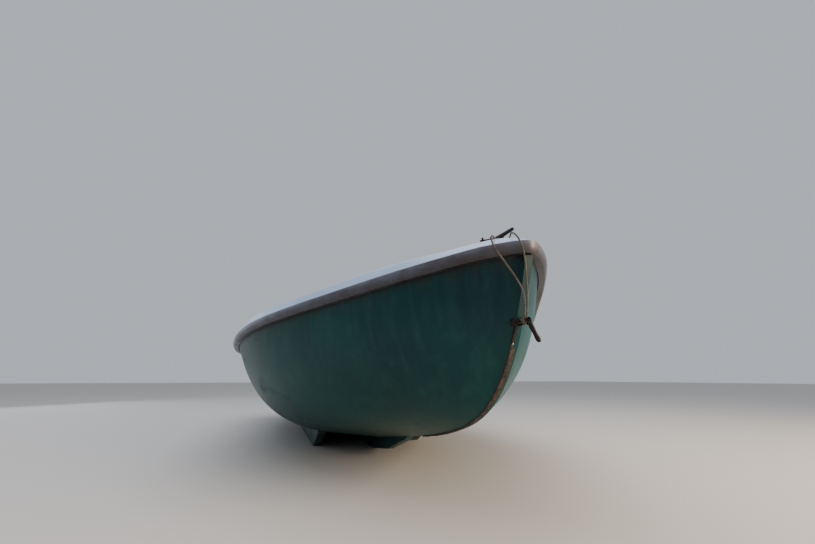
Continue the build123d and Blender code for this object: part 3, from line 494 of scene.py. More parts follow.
@dataclass(frozen=True)
class HullGelcoat(Finish):
    """Moulded polyester gelcoat left outdoors for years: deep sea green, chalked, grey inside."""

    base: str = "#00262d"
    specular: float = 0.22
    ior: Optional[float] = POLYESTER_IOR
    faded: str = "#003f3e"
    chalk: str = "#3d7a5e"
    stain: str = "#3b2b1c"
    # Soil low down, also used for the painted shadow under the gunwale lip
    soil: str = "#24231c"
    inside: str = "#a9afaf"
    patches: Cloud = Cloud(size_mm=90.0, stretch=(0.5, 1.0, 1.0), detail=6.0, span=(0.56, 0.78))

    def layers(self) -> tuple[Layer, ...]:
        """Give fading, upright runs, patches, scuffs low down, drips, painted shadow under the lip, soil and
        the inside.
        """
        fading = Cloud(size_mm=620.0, detail=2.0)
        runs = Cloud(size_mm=34.0, stretch=(1.0, 1.0, 0.05), detail=4.0, span=(0.46, 0.74))
        scuffs = Cloud(size_mm=7.0, stretch=(0.05, 1.0, 1.4), span=(0.62, 0.72))
        low_side = Band(reading=Reading.UP, span=(0.26, 0.08))
        drips = Cloud(size_mm=22.0, stretch=(1.0, 1.0, 0.1), detail=4.0, span=(0.42, 0.62))
        under_lip = Band(reading=Reading.BELOW_SHEER, span=(0.07, 0.005))
        lip_shadow = Band(reading=Reading.BELOW_SHEER, span=(0.022, 0.006))
        soiled = Cloud(size_mm=60.0, detail=5.0, span=(0.3, 0.7))
        foot = Band(reading=Reading.UP, span=(0.16, 0.03))
        inner_face = Band(reading=Reading.OUTWARD, span=(-0.08, -0.16))
        return (
            Layer(self.faded, (fading,)),
            Layer(self.chalk, (runs,), share=0.1),
            Layer(self.chalk, (self.patches,), share=0.12),
            Layer(self.chalk, (scuffs, low_side), share=0.4),
            Layer(self.stain, (under_lip, drips), share=0.3),
            # Painted shadow in the soil colour, in a band just below the gunwale lip's overhang
            Layer(self.soil, (lip_shadow,), share=0.6),
            Layer(self.soil, (soiled, foot), share=0.7),
            Layer(self.inside, (inner_face,)),
        )

    def gloss(self) -> Mask:
        """Give a dull gloss that is chalky in the patches."""
        return replace(self.patches, to=(0.38, 0.6))

    def reliefs(self) -> tuple[Relief, ...]:
        """Give the faint print of the glass cloth through the gelcoat."""
        return (Relief(Cloud(size_mm=9.0, detail=1.0, span=(0.2, 0.8)), depth_mm=0.05),)


@dataclass(frozen=True)
class GunwaleGelcoat(Finish):
    """Moulded polyester gelcoat, white under a painted blue cast of skylight, with grime and painted shade
    along the crease and under the lip.
    """

    # The base and worn tints are white gelcoat with a painted blue cast that stands in for skylight.
    base: str = "#b3c8ea"
    ior: Optional[float] = POLYESTER_IOR
    worn: str = "#97abcb"
    # Colours of grime with painted shade on the lip below the crease
    grime_and_shade: str = "#453e40"
    lip_shade_and_grime: str = "#231e1e"
    patches: Cloud = Cloud(size_mm=120.0, stretch=(0.5, 0.5, 1.0), detail=5.0)

    def layers(self) -> tuple[Layer, ...]:
        """Give worn patches, grime with painted shade below the crease, more painted shade under the lip,
        heaviest forward, and specks of grime.
        """
        crease = Band(reading=Reading.BELOW_SHEER, span=(-0.0235, -0.0205))
        under_lip = Band(reading=Reading.BELOW_SHEER, span=(-0.022, 0.004))
        mottle = Cloud(size_mm=30.0, stretch=(0.4, 0.4, 1.0), detail=6.0, span=(0.25, 0.75), to=(0.72, 1.0))
        # Weights the painted shade under the lip towards the bow, where the bow light falls
        forward = Band(reading=Reading.FORWARD, span=(-0.6, 1.5), to=(0.35, 1.0))
        specks = Cloud(size_mm=5.0, detail=2.0, span=(0.70, 0.76))
        return (
            Layer(self.worn, (self.patches,), share=0.55),
            # Grime with painted shade over the whole lip face below the crease
            Layer(self.grime_and_shade, (crease, mottle)),
            # Painted shade deepening towards the lip's foot, heavier forward, mottled with some grime
            Layer(self.lip_shade_and_grime, (under_lip, mottle, forward)),
            Layer(self.grime_and_shade, (specks,), share=0.35),
        )

    def gloss(self) -> Mask:
        """Give a gloss that is duller where the gelcoat is worn."""
        return replace(self.patches, to=(0.3, 0.48))

    def reliefs(self) -> tuple[Relief, ...]:
        """Give the moulding's faint ripple."""
        return (Relief(Cloud(size_mm=14.0, detail=2.0, span=(0.2, 0.8)), depth_mm=0.08),)


@dataclass(frozen=True)
class LinerGelcoat(Finish):
    """Sprayed flow coat of the inner moulding: pale grey, orange-peel texture, foot dirt low down."""

    base: str = "#b9bfc0"
    ior: Optional[float] = POLYESTER_IOR
    worn: str = "#8f9594"
    soil: str = "#5c574b"
    grit_mm: float = 3.0
    grit_depth_mm: float = 0.12

    def layers(self) -> tuple[Layer, ...]:
        """Give faint stains, and dirt that settles low in the boat."""
        patches = Cloud(size_mm=150.0, detail=5.0)
        stains = Cloud(size_mm=70.0, detail=6.0, span=(0.4, 0.7))
        low = Band(reading=Reading.UP, span=(0.30, 0.10))
        return (Layer(self.worn, (patches,), share=0.6), Layer(self.soil, (stains, low), share=0.7))

    def reliefs(self) -> tuple[Relief, ...]:
        """Give orange peel or grit, drawn coarser than real so that it shows."""
        grit = Cloud(size_mm=self.grit_mm, detail=1.0, span=(0.3, 0.7))
        return (Relief(grit, depth_mm=self.grit_depth_mm),)


class Grain(Enum):
    """The way a board's grain runs, as the stretch of its pattern along X, Y and Z."""

    FORE_AND_AFT = (0.05, 1.0, 1.0)
    ATHWART = (1.0, 0.05, 1.0)
    UPRIGHT = (1.0, 1.0, 0.05)


# Half the width and the depth of the groove between two boards of a seat
GROOVE_HALF_MM = 1.2
GROOVE_DEEP_MM = 1.2


@dataclass(frozen=True)
class VarnishedTimber(Finish):
    """Mahogany under old spar varnish: red-brown grain, darker pores, and grey bare patches."""

    base: str = "#8a5230"
    ior: Optional[float] = VARNISH_IOR
    grain: Grain = Grain.ATHWART
    half_board_mm: float = 0.0
    dark: str = "#4d2a18"
    bare: str = "#8b7a66"
    shadow: str = "#1c0f09"
    wear: Cloud = Cloud(size_mm=160.0, detail=7.0, span=(0.52, 0.66))

    def pores(self) -> Cloud:
        """Give the pores, drawn twice as coarse as real ones so that they show."""
        return Cloud(size_mm=2.2, stretch=self.grain.value, detail=2.0, span=(0.52, 0.7))

    def grooves(self) -> Boards:
        """Give the grooves between boards."""
        half = GROOVE_HALF_MM / self.half_board_mm
        return Boards(half_board_mm=self.half_board_mm, span=(2 * half, half))

    def layers(self) -> tuple[Layer, ...]:
        """Give growth bands, pores, worn patches and, on a seat of boards, their grooves."""
        bands = Cloud(size_mm=26.0, stretch=self.grain.value, detail=5.0, span=(0.3, 0.7))
        layers = (
            Layer(self.dark, (bands,)),
            Layer(self.dark, (self.pores(),), share=0.55),
            Layer(self.bare, (self.wear,), share=0.6),
        )
        if self.half_board_mm:
            layers += (Layer(self.shadow, (self.grooves(),), share=0.85),)
        return layers

    def gloss(self) -> Mask:
        """Give a gloss that is gone where the varnish has flaked."""
        return replace(self.wear, to=(0.28, 0.7))

    def reliefs(self) -> tuple[Relief, ...]:
        """Give the pores and, on a seat of boards, their grooves."""
        reliefs = (Relief(self.pores(), depth_mm=0.15),)
        if self.half_board_mm:
            reliefs += (Relief(replace(self.grooves(), to=(1.0, 0.0)), depth_mm=GROOVE_DEEP_MM),)
        return reliefs


@dataclass(frozen=True)
class RustedSteel(Finish):
    """Mild steel strip that has lost its zinc: layered brown rust with darker scale."""

    base: str = "#261e19"
    roughness: float = 0.85
    metallic: float = 0.15
    rust: str = "#43362f"
    dust: str = "#5c4f47"

    def layers(self) -> tuple[Layer, ...]:
        """Give rust in two tones over the scale."""
        blotches = Cloud(size_mm=22.0, detail=8.0)
        powder = Cloud(size_mm=6.0, detail=6.0, span=(0.52, 0.7))
        return (Layer(self.rust, (blotches,)), Layer(self.dust, (powder,)))

    def reliefs(self) -> tuple[Relief, ...]:
        """Give deep pits."""
        return (Relief(Cloud(size_mm=3.0, detail=6.0, span=(0.3, 0.7)), depth_mm=0.3),)


@dataclass(frozen=True)
class WeatheredIron(Finish):
    """Forged and galvanised iron gone dark: a nearly black skin, rust freckles, worn bright edges."""

    base: str = "#141211"
    metallic: float = 0.55
    rust: str = "#3a271d"
    bright: str = "#6b655e"
    freckles: Cloud = Cloud(size_mm=7.0, detail=7.0, span=(0.46, 0.66))

    def layers(self) -> tuple[Layer, ...]:
        """Give rust freckles and a few bright rubs on the dark oxide."""
        rubs = Band(reading=Reading.EDGE, span=(0.54, 0.62))
        return (Layer(self.rust, (self.freckles,)), Layer(self.bright, (rubs,), share=0.35))

    def gloss(self) -> Mask:
        """Give a satin skin that is matt where it rusts."""
        return replace(self.freckles, to=(0.38, 0.8))

    def reliefs(self) -> tuple[Relief, ...]:
        """Give pits."""
        return (Relief(Cloud(size_mm=2.5, detail=6.0, span=(0.3, 0.7)), depth_mm=0.25),)


@dataclass(frozen=True)
class GalvanisedSteel(Finish):
    """Hot-dip galvanised steel: dull zinc grey with spangle and white bloom."""

    base: str = "#6f7577"
    metallic: float = 0.9
    zinc: str = "#9aa0a3"
    white: str = "#c4c7c6"
    crystals: Spangle = Spangle(size_mm=8.0, span=(0.2, 0.9))
    bloom: Cloud = Cloud(size_mm=12.0, detail=6.0, span=(0.55, 0.75))

    def layers(self) -> tuple[Layer, ...]:
        """Give spangled zinc with bloom."""
        return (Layer(self.zinc, (self.crystals,)), Layer(self.white, (self.bloom,), share=0.6))

    def gloss(self) -> Mask:
        """Give each crystal its own gloss."""
        return replace(self.crystals, to=(0.38, 0.52))

    def reliefs(self) -> tuple[Relief, ...]:
        """Give the bloom's slight thickness."""
        return (Relief(self.bloom, depth_mm=0.05),)


@dataclass(frozen=True)
class RopeFibre(Finish):
    """Laid hemp twine, sun-bleached outside and dirty in the lay."""

    base: str = "#453f37"
    roughness: float = 0.9
    sheen: float = 0.25
    bleached: str = "#655d51"
    dirt: str = "#28231d"
    yarns: Cloud = Cloud(size_mm=1.6, detail=4.0)

    def layers(self) -> tuple[Layer, ...]:
        """Give bleached yarns and dirt."""
        dirty = Cloud(size_mm=18.0, detail=4.0, span=(0.45, 0.7))
        return (Layer(self.bleached, (self.yarns,)), Layer(self.dirt, (dirty,), share=0.7))

    def reliefs(self) -> tuple[Relief, ...]:
        """Give the yarns' thickness, drawn coarser than real so that it shows."""
        return (Relief(self.yarns, depth_mm=0.2),)


@dataclass(frozen=True)
class MouldedPlastic(Finish):
    """Injection-moulded ABS: near black, faintly textured, dusty."""

    base: str = "#1d1f20"
    ior: Optional[float] = ABS_IOR
    dust: str = "#54524d"

    def layers(self) -> tuple[Layer, ...]:
        """Give settled dust."""
        settled = Cloud(size_mm=30.0, detail=6.0, span=(0.5, 0.75))
        return (Layer(self.dust, (settled,), share=0.5),)

    def reliefs(self) -> tuple[Relief, ...]:
        """Give the mould's fine texture, drawn coarser than real so that it shows."""
        return (Relief(Cloud(size_mm=1.2, detail=1.0, span=(0.3, 0.7)), depth_mm=0.03),)


HULL_GELCOAT = HullGelcoat("gelcoat_moulded_sea_green", "hull_gelcoat")
GUNWALE_GELCOAT = GunwaleGelcoat("gelcoat_moulded_blue_white", "gunwale_gelcoat")
LINER_GELCOAT = LinerGelcoat("flowcoat_sprayed_grey", "liner_gelcoat")
SOLE_GELCOAT = LinerGelcoat(
    "flowcoat_non_slip_grey", "liner_gelcoat", base="#a2a8a8", worn="#7c8280", grit_mm=5.0, grit_depth_mm=0.5
)
SEAT_TIMBER = VarnishedTimber("mahogany_varnished_boards", "varnished_wood", half_board_mm=76.0)
BLOCK_TIMBER = VarnishedTimber("mahogany_varnished_athwart", "varnished_wood")
RAIL_TIMBER = VarnishedTimber("mahogany_varnished_fore_and_aft", "varnished_wood", grain=Grain.FORE_AND_AFT)
POST_TIMBER = VarnishedTimber("mahogany_varnished_upright", "varnished_wood", grain=Grain.UPRIGHT)
BAND_STEEL = RustedSteel("mild_steel_rusted", "rusty_steel")
FORGED_IRON = WeatheredIron("forged_iron_weathered", "dark_iron")
ZINC_STEEL = GalvanisedSteel("steel_hot_dip_galvanised", "galvanised_steel")
TWINE = RopeFibre("hemp_twine_laid", "rope")
BLACK_ABS = MouldedPlastic("abs_moulded_black", "black_plastic")

FINISHED_NODES: dict[Finish, tuple[str, ...]] = {
    HULL_GELCOAT: ("hull_shell", "keel", "runner_port", "runner_starboard"),
    GUNWALE_GELCOAT: ("gunwale_moulding", "foredeck"),
    LINER_GELCOAT: ("cockpit_liner",),
    SOLE_GELCOAT: ("sole_panel",),
    SEAT_TIMBER: ("centre_thwart", "bow_thwart", "stern_bench"),
    RAIL_TIMBER: ("riser_port", "riser_starboard", "stretcher_rails"),
    BLOCK_TIMBER: (
        "stern_panel", "quarter_knees", "foot_stretcher", "outboard_pad_inner", "outboard_pad_outer",
    ),
    POST_TIMBER: ("thwart_post", "thwart_knees"),
    BAND_STEEL: ("stem_band",),
    ZINC_STEEL: (
        "rowlock_bracket_port", "rowlock_bracket_starboard", "rowlock_block_port",
        "rowlock_block_starboard", "rowlock_horn_port", "rowlock_horn_starboard", "stern_eye_port",
        "stern_eye_starboard",
    ),
    FORGED_IRON: (
        "stem_fitting", "bow_shackle", "hanging_hook", "mooring_cleat", "fairlead_port",
        "fairlead_starboard",
    ),
    BLACK_ABS: ("drain_plug", "inspection_cover"),
    TWINE: ("rope_hitch", "rope_turns"),
}


def paint(piece: bpy.types.Object, finish: Finish) -> None:
    """Give a piece one finish in its only material slot.

    Args:
        piece: Mesh or curve object.
        finish: The finish to wear.
    """
    piece.data.materials.clear()
    piece.data.materials.append(finish.material())


def as_piece(name: str, mesh: bpy.types.Mesh, finish: Finish) -> bpy.types.Object:
    """Put a mesh in the scene as a piece of the boat.

    Args:
        name: The piece's name.
        mesh: Its mesh, in the boat's frame.
        finish: The finish to wear.

    Returns:
        The piece.
    """
    piece = bpy.data.objects.new(name, mesh)
    bpy.context.scene.collection.objects.link(piece)
    paint(piece, finish)
    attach(piece, BOAT)
    return piece


# Camera, floor and lights


@dataclass(frozen=True)
class Softbox:
    """A square soft light: where it hangs and aims, its side in metres, its power in watts and its colour."""

    name: str
    at: Point
    aim: Point
    size: float
    power: float
    colour: str


SOFTBOXES = (
    Softbox("overhead_softbox", (0.2, -0.6, 4.5), (0.0, 0.0, 0.4), 5.0, 150.0, "#f2f6ff"),
    Softbox("port_bow_softbox", (4.2, 2.6, 1.4), (1.5, 0.15, 0.45), 2.2, 320.0, "#ffe2bf"),
    Softbox("starboard_quarter_softbox", (-3.4, -3.4, 1.7), (-1.0, -0.4, 0.4), 3.0, 30.0, "#e8f0ff"),
)


@dataclass(frozen=True)
class Studio:
    """Camera at the photograph's place, a pale floor and soft lights."""

    camera_at: Point = (2.3341, -0.5567, 0.3553)
    heading: tuple[float, float] = (-0.9398, 0.3417)
    pitch_deg: float = 16.337
    lens_mm: float = 15.943
    sensor_mm: float = 36.0
    nearest: float = 0.01
    farthest: float = 200.0
    floor_half: float = 30.0
    floor_colour: str = "#c6c3bf"
    floor_roughness: float = 0.9
    sky_colour: str = "#dde3ec"
    sky_strength: float = 0.7

    def set_camera(self) -> None:
        """Stand the camera low ahead of the boat's starboard bow."""
        data = bpy.data.cameras.new("photograph_camera")
        data.lens = self.lens_mm
        data.sensor_width = self.sensor_mm
        data.clip_start = self.nearest
        data.clip_end = self.farthest
        camera = bpy.data.objects.new("photograph_camera", data)
        bpy.context.scene.collection.objects.link(camera)
        pitch = math.radians(self.pitch_deg)
        way = Vector((self.heading[0] * math.cos(pitch), self.heading[1] * math.cos(pitch), math.sin(pitch)))
        camera.location = self.camera_at
        camera.rotation_mode = "QUATERNION"
        camera.rotation_quaternion = way.to_track_quat("-Z", "Y")
        bpy.context.scene.camera = camera

    def set_floor(self) -> None:
        """Lay a plain pale floor under the boat."""
        half = self.floor_half
        mesh = bpy.data.meshes.new("floor")
        corners = [(-half, -half, 0), (half, -half, 0), (half, half, 0), (-half, half, 0)]
        mesh.from_pydata(corners, [], [(0, 1, 2, 3)])
        floor = bpy.data.objects.new("floor", mesh)
        bpy.context.scene.collection.objects.link(floor)
        coat = bpy.data.materials.new("floor_paint_matt")
        coat.use_nodes = True
        surface = coat.node_tree.nodes["Principled BSDF"]
        surface.inputs["Base Color"].default_value = linear_rgba(self.floor_colour)
        surface.inputs["Roughness"].default_value = self.floor_roughness
        mesh.materials.append(coat)

    def set_lights(self) -> None:
        """Hang the soft lights, and light the room evenly."""
        world = bpy.data.worlds.new("studio_room")
        bpy.context.scene.world = world
        world.use_nodes = True
        background = world.node_tree.nodes["Background"]
        background.inputs["Color"].default_value = linear_rgba(self.sky_colour)
        background.inputs["Strength"].default_value = self.sky_strength
        for box in SOFTBOXES:
            data = bpy.data.lights.new(box.name, "AREA")
            data.shape = "SQUARE"
            data.size = box.size
            data.energy = box.power
            data.color = linear_rgba(box.colour)[:3]
            light = bpy.data.objects.new(box.name, data)
            bpy.context.scene.collection.objects.link(light)
            light.location = box.at
            light.rotation_mode = "QUATERNION"
            light.rotation_quaternion = (Vector(box.aim) - Vector(box.at)).to_track_quat("-Z", "Y")


# The bow rope


@dataclass(frozen=True)
class RopeLeg:
    """One leg of the bow rope: its route over the gunwale down to the shackle, in millimetres."""

    name: str
    node: str
    route_mm: tuple[Point, ...]


# The shackle's bow and the cleat's fore foot, where the rope is made fast, from the same sizes as the solids
SHACKLE_BOW_MM = (3277.0, 0.0, 485.0)
SHACKLE_BOW_RADIUS_MM = 10.0
HITCH_ANGLE_DEG = -65.0
HITCH_RADIUS_MM = 5.3
HITCH_LENGTH_MM = 8.0
HITCH_START_DEG = 70.0
HITCH_TURNS = 2
TURN_STEPS = 12
CLEAT_TURNS = 2
CLEAT_FOOT_X_MM = 3204.0
TURNS_RADIUS_MM = 10.9
TURNS_EASE_DEG = 35.0
TURNS_HIGH_MM = 693.9
TURNS_DROP_MM = 4.8
ROPE_LEGS = (
    RopeLeg(
        "bow_rope_starboard",
        "rope_leg_starboard",
        (
            (3208.5, -13.0, 695.0), (3240.0, -44.0, 699.0),
            (3268.0, -73.0, 700.0), (3283.0, -85.0, 669.0),
            (3289.0, -62.0, 630.0), (3295.0, -28.0, 580.0),
            (3297.0, -10.0, 540.0), (3290.5, -13.5, 495.0),
        ),
    ),
    RopeLeg(
        "bow_rope_port",
        "rope_leg_port",
        (
            (3217.4, -2.0, 695.0), (3262.0, -14.0, 702.0),
            (3293.0, -32.0, 704.0), (3323.0, -34.0, 676.0),
            (3317.0, -17.0, 634.0), (3302.0, -8.0, 590.0),
            (3298.0, -4.0, 546.0), (3291.5, -7.5, 495.0),
        ),
    ),
)


@dataclass
class BowRope:
    """A twine made fast to the cleat, in two legs over the gunwale to the shackle."""

    diameter: float = 0.005
    strands: int = 3
    lay_length: float = 0.016
    steps_per_lay: int = 12
    strand_squeeze: float = 1.02
    sides: int = 8
    spline_resolution: int = 24

    def centreline(self, name: str, route_mm: Sequence[Point]) -> list[Vector]:
        """Read a smooth line from a spline on a route.

        Args:
            name: Name of the piece that follows the line.
            route_mm: The route's points, in millimetres from the transom.

        Returns:
            Points along the line, in metres.
        """
        curve = bpy.data.curves.new(name + "_line", "CURVE")
        curve.dimensions = "3D"
        curve.resolution_u = self.spline_resolution
        spline = curve.splines.new("NURBS")
        spline.points.add(len(route_mm) - 1)
        for point, at in zip(spline.points, route_mm):
            point.co = (*in_frame(at), 1.0)
        spline.order_u = 3
        spline.use_endpoint_u = True
        holder = bpy.data.objects.new(name + "_line", curve)
        bpy.context.scene.collection.objects.link(holder)
        mesh = bpy.data.meshes.new_from_object(holder.evaluated_get(bpy.context.evaluated_depsgraph_get()))
        points = [vertex.co.copy() for vertex in mesh.vertices]
        bpy.data.objects.remove(holder)
        bpy.data.meshes.remove(mesh)
        return points

    def strand_mesh(self, name: str, line: Sequence[Vector]) -> bpy.types.Mesh:
        """Twist the rope's strands round its line.

        Args:
            name: Name of the mesh.
            line: The rope's centreline.

        Returns:
            One mesh with every strand, closed at both ends.
        """
        radius = self.diameter / 2
        offset = radius / (1 + math.sin(math.pi / self.strands) * self.strand_squeeze)
        strand_radius = radius - offset
        frames = transported_frames(line)
        angles = [2 * math.pi * k / self.sides for k in range(self.sides)]
        mesh = bmesh.new()
        for strand in range(self.strands):
            travelled = 0.0
            rings = []
            for index, (point, (normal, side)) in enumerate(zip(line, frames)):
                if index:
                    travelled += (point - line[index - 1]).length
                turn = 2 * math.pi * (travelled / self.lay_length + strand / self.strands)
                centre = point + (normal * math.cos(turn) + side * math.sin(turn)) * offset
                spokes = [(normal * math.cos(a) + side * math.sin(a)) * strand_radius for a in angles]
                rings.append([mesh.verts.new(centre + spoke) for spoke in spokes])
            join_rings(mesh, rings)
        bmesh.ops.recalc_face_normals(mesh, faces=mesh.faces)
        data = bpy.data.meshes.new(name)
        mesh.to_mesh(data)
        mesh.free()
        data.shade_smooth()
        return data

    def build(self) -> None:
        for leg in ROPE_LEGS:
            line = self.centreline(leg.name, leg.route_mm)
            fine = resampled(line, self.lay_length / self.steps_per_lay)
            piece = as_piece(leg.name, self.strand_mesh(leg.name, fine), TWINE)
            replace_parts(piece, leg.node)
        for name, node, route in (
            ("bow_rope_hitch", "rope_hitch", self.hitch_route()),
            ("bow_rope_turns", "rope_turns", self.turns_route()),
        ):
            fine = resampled(self.centreline(name, route), self.lay_length / self.steps_per_lay)
            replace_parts(as_piece(name, self.strand_mesh(name, fine), TWINE), node)
            log.info("%s: made fast", name)

    def hitch_route(self) -> list[Point]:
        """Wind two turns round the shackle's bow, from one leg's end to the other's.

        Returns:
            Points along the hitch, in millimetres from the transom.
        """
        bar_way = math.radians(HITCH_ANGLE_DEG)
        along = Vector((-math.sin(bar_way), math.cos(bar_way), 0.0))
        across = Vector((math.cos(bar_way), math.sin(bar_way), 0.0))
        centre = Vector(SHACKLE_BOW_MM) + across * SHACKLE_BOW_RADIUS_MM
        route = [ROPE_LEGS[0].route_mm[-1]]
        steps = HITCH_TURNS * TURN_STEPS
        for step in range(steps + 1):
            turn = math.radians(HITCH_START_DEG) - 2 * math.pi * step / TURN_STEPS
            shift = HITCH_LENGTH_MM * (step / steps - 0.5)
            spot = centre + along * shift
            spot += (across * math.cos(turn) + Vector((0, 0, 1)) * math.sin(turn)) * HITCH_RADIUS_MM
            route.append(tuple(spot))
        return route + [ROPE_LEGS[1].route_mm[-1]]

    def turns_route(self) -> list[Point]:
        """Wind the rope round the cleat's fore foot, from one leg's start to the other's.

        Returns:
            Points along the turns, in millimetres from the transom.
        """
        start = ROPE_LEGS[0].route_mm[0]
        end = ROPE_LEGS[1].route_mm[0]
        ease = math.radians(TURNS_EASE_DEG)
        first = math.atan2(start[1], start[0] - CLEAT_FOOT_X_MM) - ease
        last = math.atan2(end[1], end[0] - CLEAT_FOOT_X_MM) + ease - 2 * math.pi * CLEAT_TURNS
        steps = CLEAT_TURNS * TURN_STEPS
        route = [start]
        for step in range(steps + 1):
            share = step / steps
            turn = first + (last - first) * share
            route.append(
                (
                    CLEAT_FOOT_X_MM + TURNS_RADIUS_MM * math.cos(turn),
                    TURNS_RADIUS_MM * math.sin(turn),
                    TURNS_HIGH_MM - TURNS_DROP_MM * share,
                )
            )
        return route + [end]


def transported_frames(line: Sequence[Vector]) -> list[tuple[Vector, Vector]]:
    """Carry a normal and a side along a line without twist.

    Args:
        line: Points of the line.

    Returns:
        The normal and side at each point.
    """
    tangent = (line[1] - line[0]).normalized()
    normal = tangent.orthogonal().normalized()
    frames = []
    for index in range(len(line)):
        ahead = line[min(index + 1, len(line) - 1)]
        behind = line[max(index - 1, 0)]
        new_tangent = (ahead - behind).normalized()
        normal = tangent.rotation_difference(new_tangent) @ normal
        normal = (normal - new_tangent * normal.dot(new_tangent)).normalized()
        tangent = new_tangent
        frames.append((normal.copy(), tangent.cross(normal)))
    return frames


SHORTEST = 1e-9


def resampled(line: Sequence[Vector], step: float) -> list[Vector]:
    """Space points evenly along a line.

    Args:
        line: Points of the line.
        step: Distance between new points, at most.

    Returns:
        The new points, with the line's own ends.
    """
    lengths = [0.0]
    for a, b in zip(line, line[1:]):
        lengths.append(lengths[-1] + (b - a).length)
    count = max(2, math.ceil(lengths[-1] / step))
    points = []
    index = 0
    for k in range(count + 1):
        target = lengths[-1] * k / count
        while index < len(lengths) - 2 and lengths[index + 1] < target:
            index += 1
        share = (target - lengths[index]) / max(lengths[index + 1] - lengths[index], SHORTEST)
        points.append(line[index].lerp(line[index + 1], min(share, 1.0)))
    return points


def join_rings(mesh: bmesh.types.BMesh, rings: Sequence[Sequence[bmesh.types.BMVert]]) -> None:
    """Skin rings of vertices into a tube, with its ends capped.

    Args:
        mesh: Mesh that holds the rings.
        rings: Rings in order, each with the same count.
    """
    count = len(rings[0])
    for first, second in zip(rings, rings[1:]):
        for k in range(count):
            after = (k + 1) % count
            mesh.faces.new((first[k], first[after], second[after], second[k]))
    mesh.faces.new(list(reversed(rings[0])))
    mesh.faces.new(rings[-1])


# Fasteners


class HeadKind(Enum):
    """What a fastener shows outside."""

    SLOTTED = "slotted"
    HEX = "hex"
    RIVET = "rivet"


# Profiles of radius and height, as shares of the head's own. A washer's heights are shares of its
# thickness, and a slotted head's base and its half moons' foot have shares of the slot floor's height
DOME_DEG = (0, 25, 50, 72)
WASHER_THICK = 0.22
WASHER_PROFILE = ((1.3, 0.8), (1.248, 1.0))
HEX_SIDES = 6
HEX_PROFILE = ((1.0, 0.11), (1.0, 0.88), (0.9, 1.0))
SLOT_FLOOR = 0.35
SLOT_BASE_PROFILE = ((1.0, 0.7), (0.97, 1.0))
SLOT_HALF_WIDTH = 0.16
HALF_MOON_STEPS = 9
HALF_MOON_FOOT = (0.97, 0.9)
HALF_MOON_PROFILE = ((0.95, 0.8), (0.82, 1.0))


@dataclass(frozen=True)
class Head:
    """A fastener's visible head, in millimetres."""

    kind: HeadKind
    radius: float
    height: float
    sunk: float = 0.3
    sides: int = 20

    def mesh(self) -> bpy.types.Mesh:
        """Model the head at the origin, its outer side up.

        Returns:
            The head's mesh, in metres.
        """
        shape = bmesh.new()
        if self.kind is HeadKind.RIVET:
            dome = [(math.cos(math.radians(a)), math.sin(math.radians(a))) for a in DOME_DEG]
            self.turn(shape, self.sunk_profile(1.0, dome, self.height), self.sides)
        elif self.kind is HeadKind.HEX:
            thick = self.height * WASHER_THICK
            self.turn(shape, self.sunk_profile(WASHER_PROFILE[0][0], WASHER_PROFILE, thick), self.sides)
            self.turn(shape, [(self.radius * r, self.height * z) for r, z in HEX_PROFILE], HEX_SIDES)
        else:
            floor = self.height * SLOT_FLOOR
            self.turn(shape, self.sunk_profile(1.0, SLOT_BASE_PROFILE, floor), self.sides)
            for side in (-1, 1):
                self.half_moon(shape, side, floor)
        bmesh.ops.recalc_face_normals(shape, faces=shape.faces)
        data = bpy.data.meshes.new(self.kind.value + "_head")
        shape.to_mesh(data)
        shape.free()
        return data

    def sunk_profile(self, foot: float, shares: Sequence[Span], height: float) -> list[Span]:
        """Scale a profile, and start it below the surface.

        Args:
            foot: Share of the radius at the sunk foot.
            shares: Shares of the radius and of the height.
            height: The height that the shares are of.

        Returns:
            Radius and height of each point.
        """
        return [(self.radius * foot, -self.sunk)] + [(self.radius * r, height * z) for r, z in shares]

    def turn(self, shape: bmesh.types.BMesh, profile: Sequence[Span], sides: int) -> None:
        """Turn a profile round the head's axis, and cap both ends.

        Args:
            shape: Mesh that takes the faces.
            profile: Radius and height of each ring, in millimetres.
            sides: Count of sides.
        """
        angles = [2 * math.pi * k / sides for k in range(sides)]
        rings = [
            [shape.verts.new((r * MM * math.cos(a), r * MM * math.sin(a), z * MM)) for a in angles]
            for r, z in profile
        ]
        join_rings(shape, rings)

    def half_moon(self, shape: bmesh.types.BMesh, side: int, floor: float) -> None:
        """Stand one half of the head's top beside the driver's slot.

        Args:
            shape: Mesh that takes the faces.
            side: 1 or -1, for the half on either side of the slot.
            floor: Height of the slot's floor, in millimetres.
        """
        gap = math.asin(SLOT_HALF_WIDTH)
        sweep = math.pi - 2 * gap
        arc = [gap + sweep * k / HALF_MOON_STEPS for k in range(HALF_MOON_STEPS + 1)]
        profile = [(self.radius * HALF_MOON_FOOT[0], floor * HALF_MOON_FOOT[1])]
        profile += [(self.radius * r, self.height * z) for r, z in HALF_MOON_PROFILE]
        rings = [
            [shape.verts.new((r * MM * math.cos(a), side * r * MM * math.sin(a), z * MM)) for a in arc]
            for r, z in profile
        ]
        join_rings(shape, rings)


@dataclass(frozen=True)
class FastenerRow:
    """Like fasteners in a straight row, set where lines of sight from it meet a node."""

    node: str
    first_mm: Point
    last_mm: Point
    count: int
    look: Point
    both_sides: bool = True


@dataclass(frozen=True)
class FastenerKind:
    """One piece of like fasteners: its name, the head and finish that they share, and their rows."""

    piece: str
    head: Head
    finish: Finish
    rows: tuple[FastenerRow, ...]


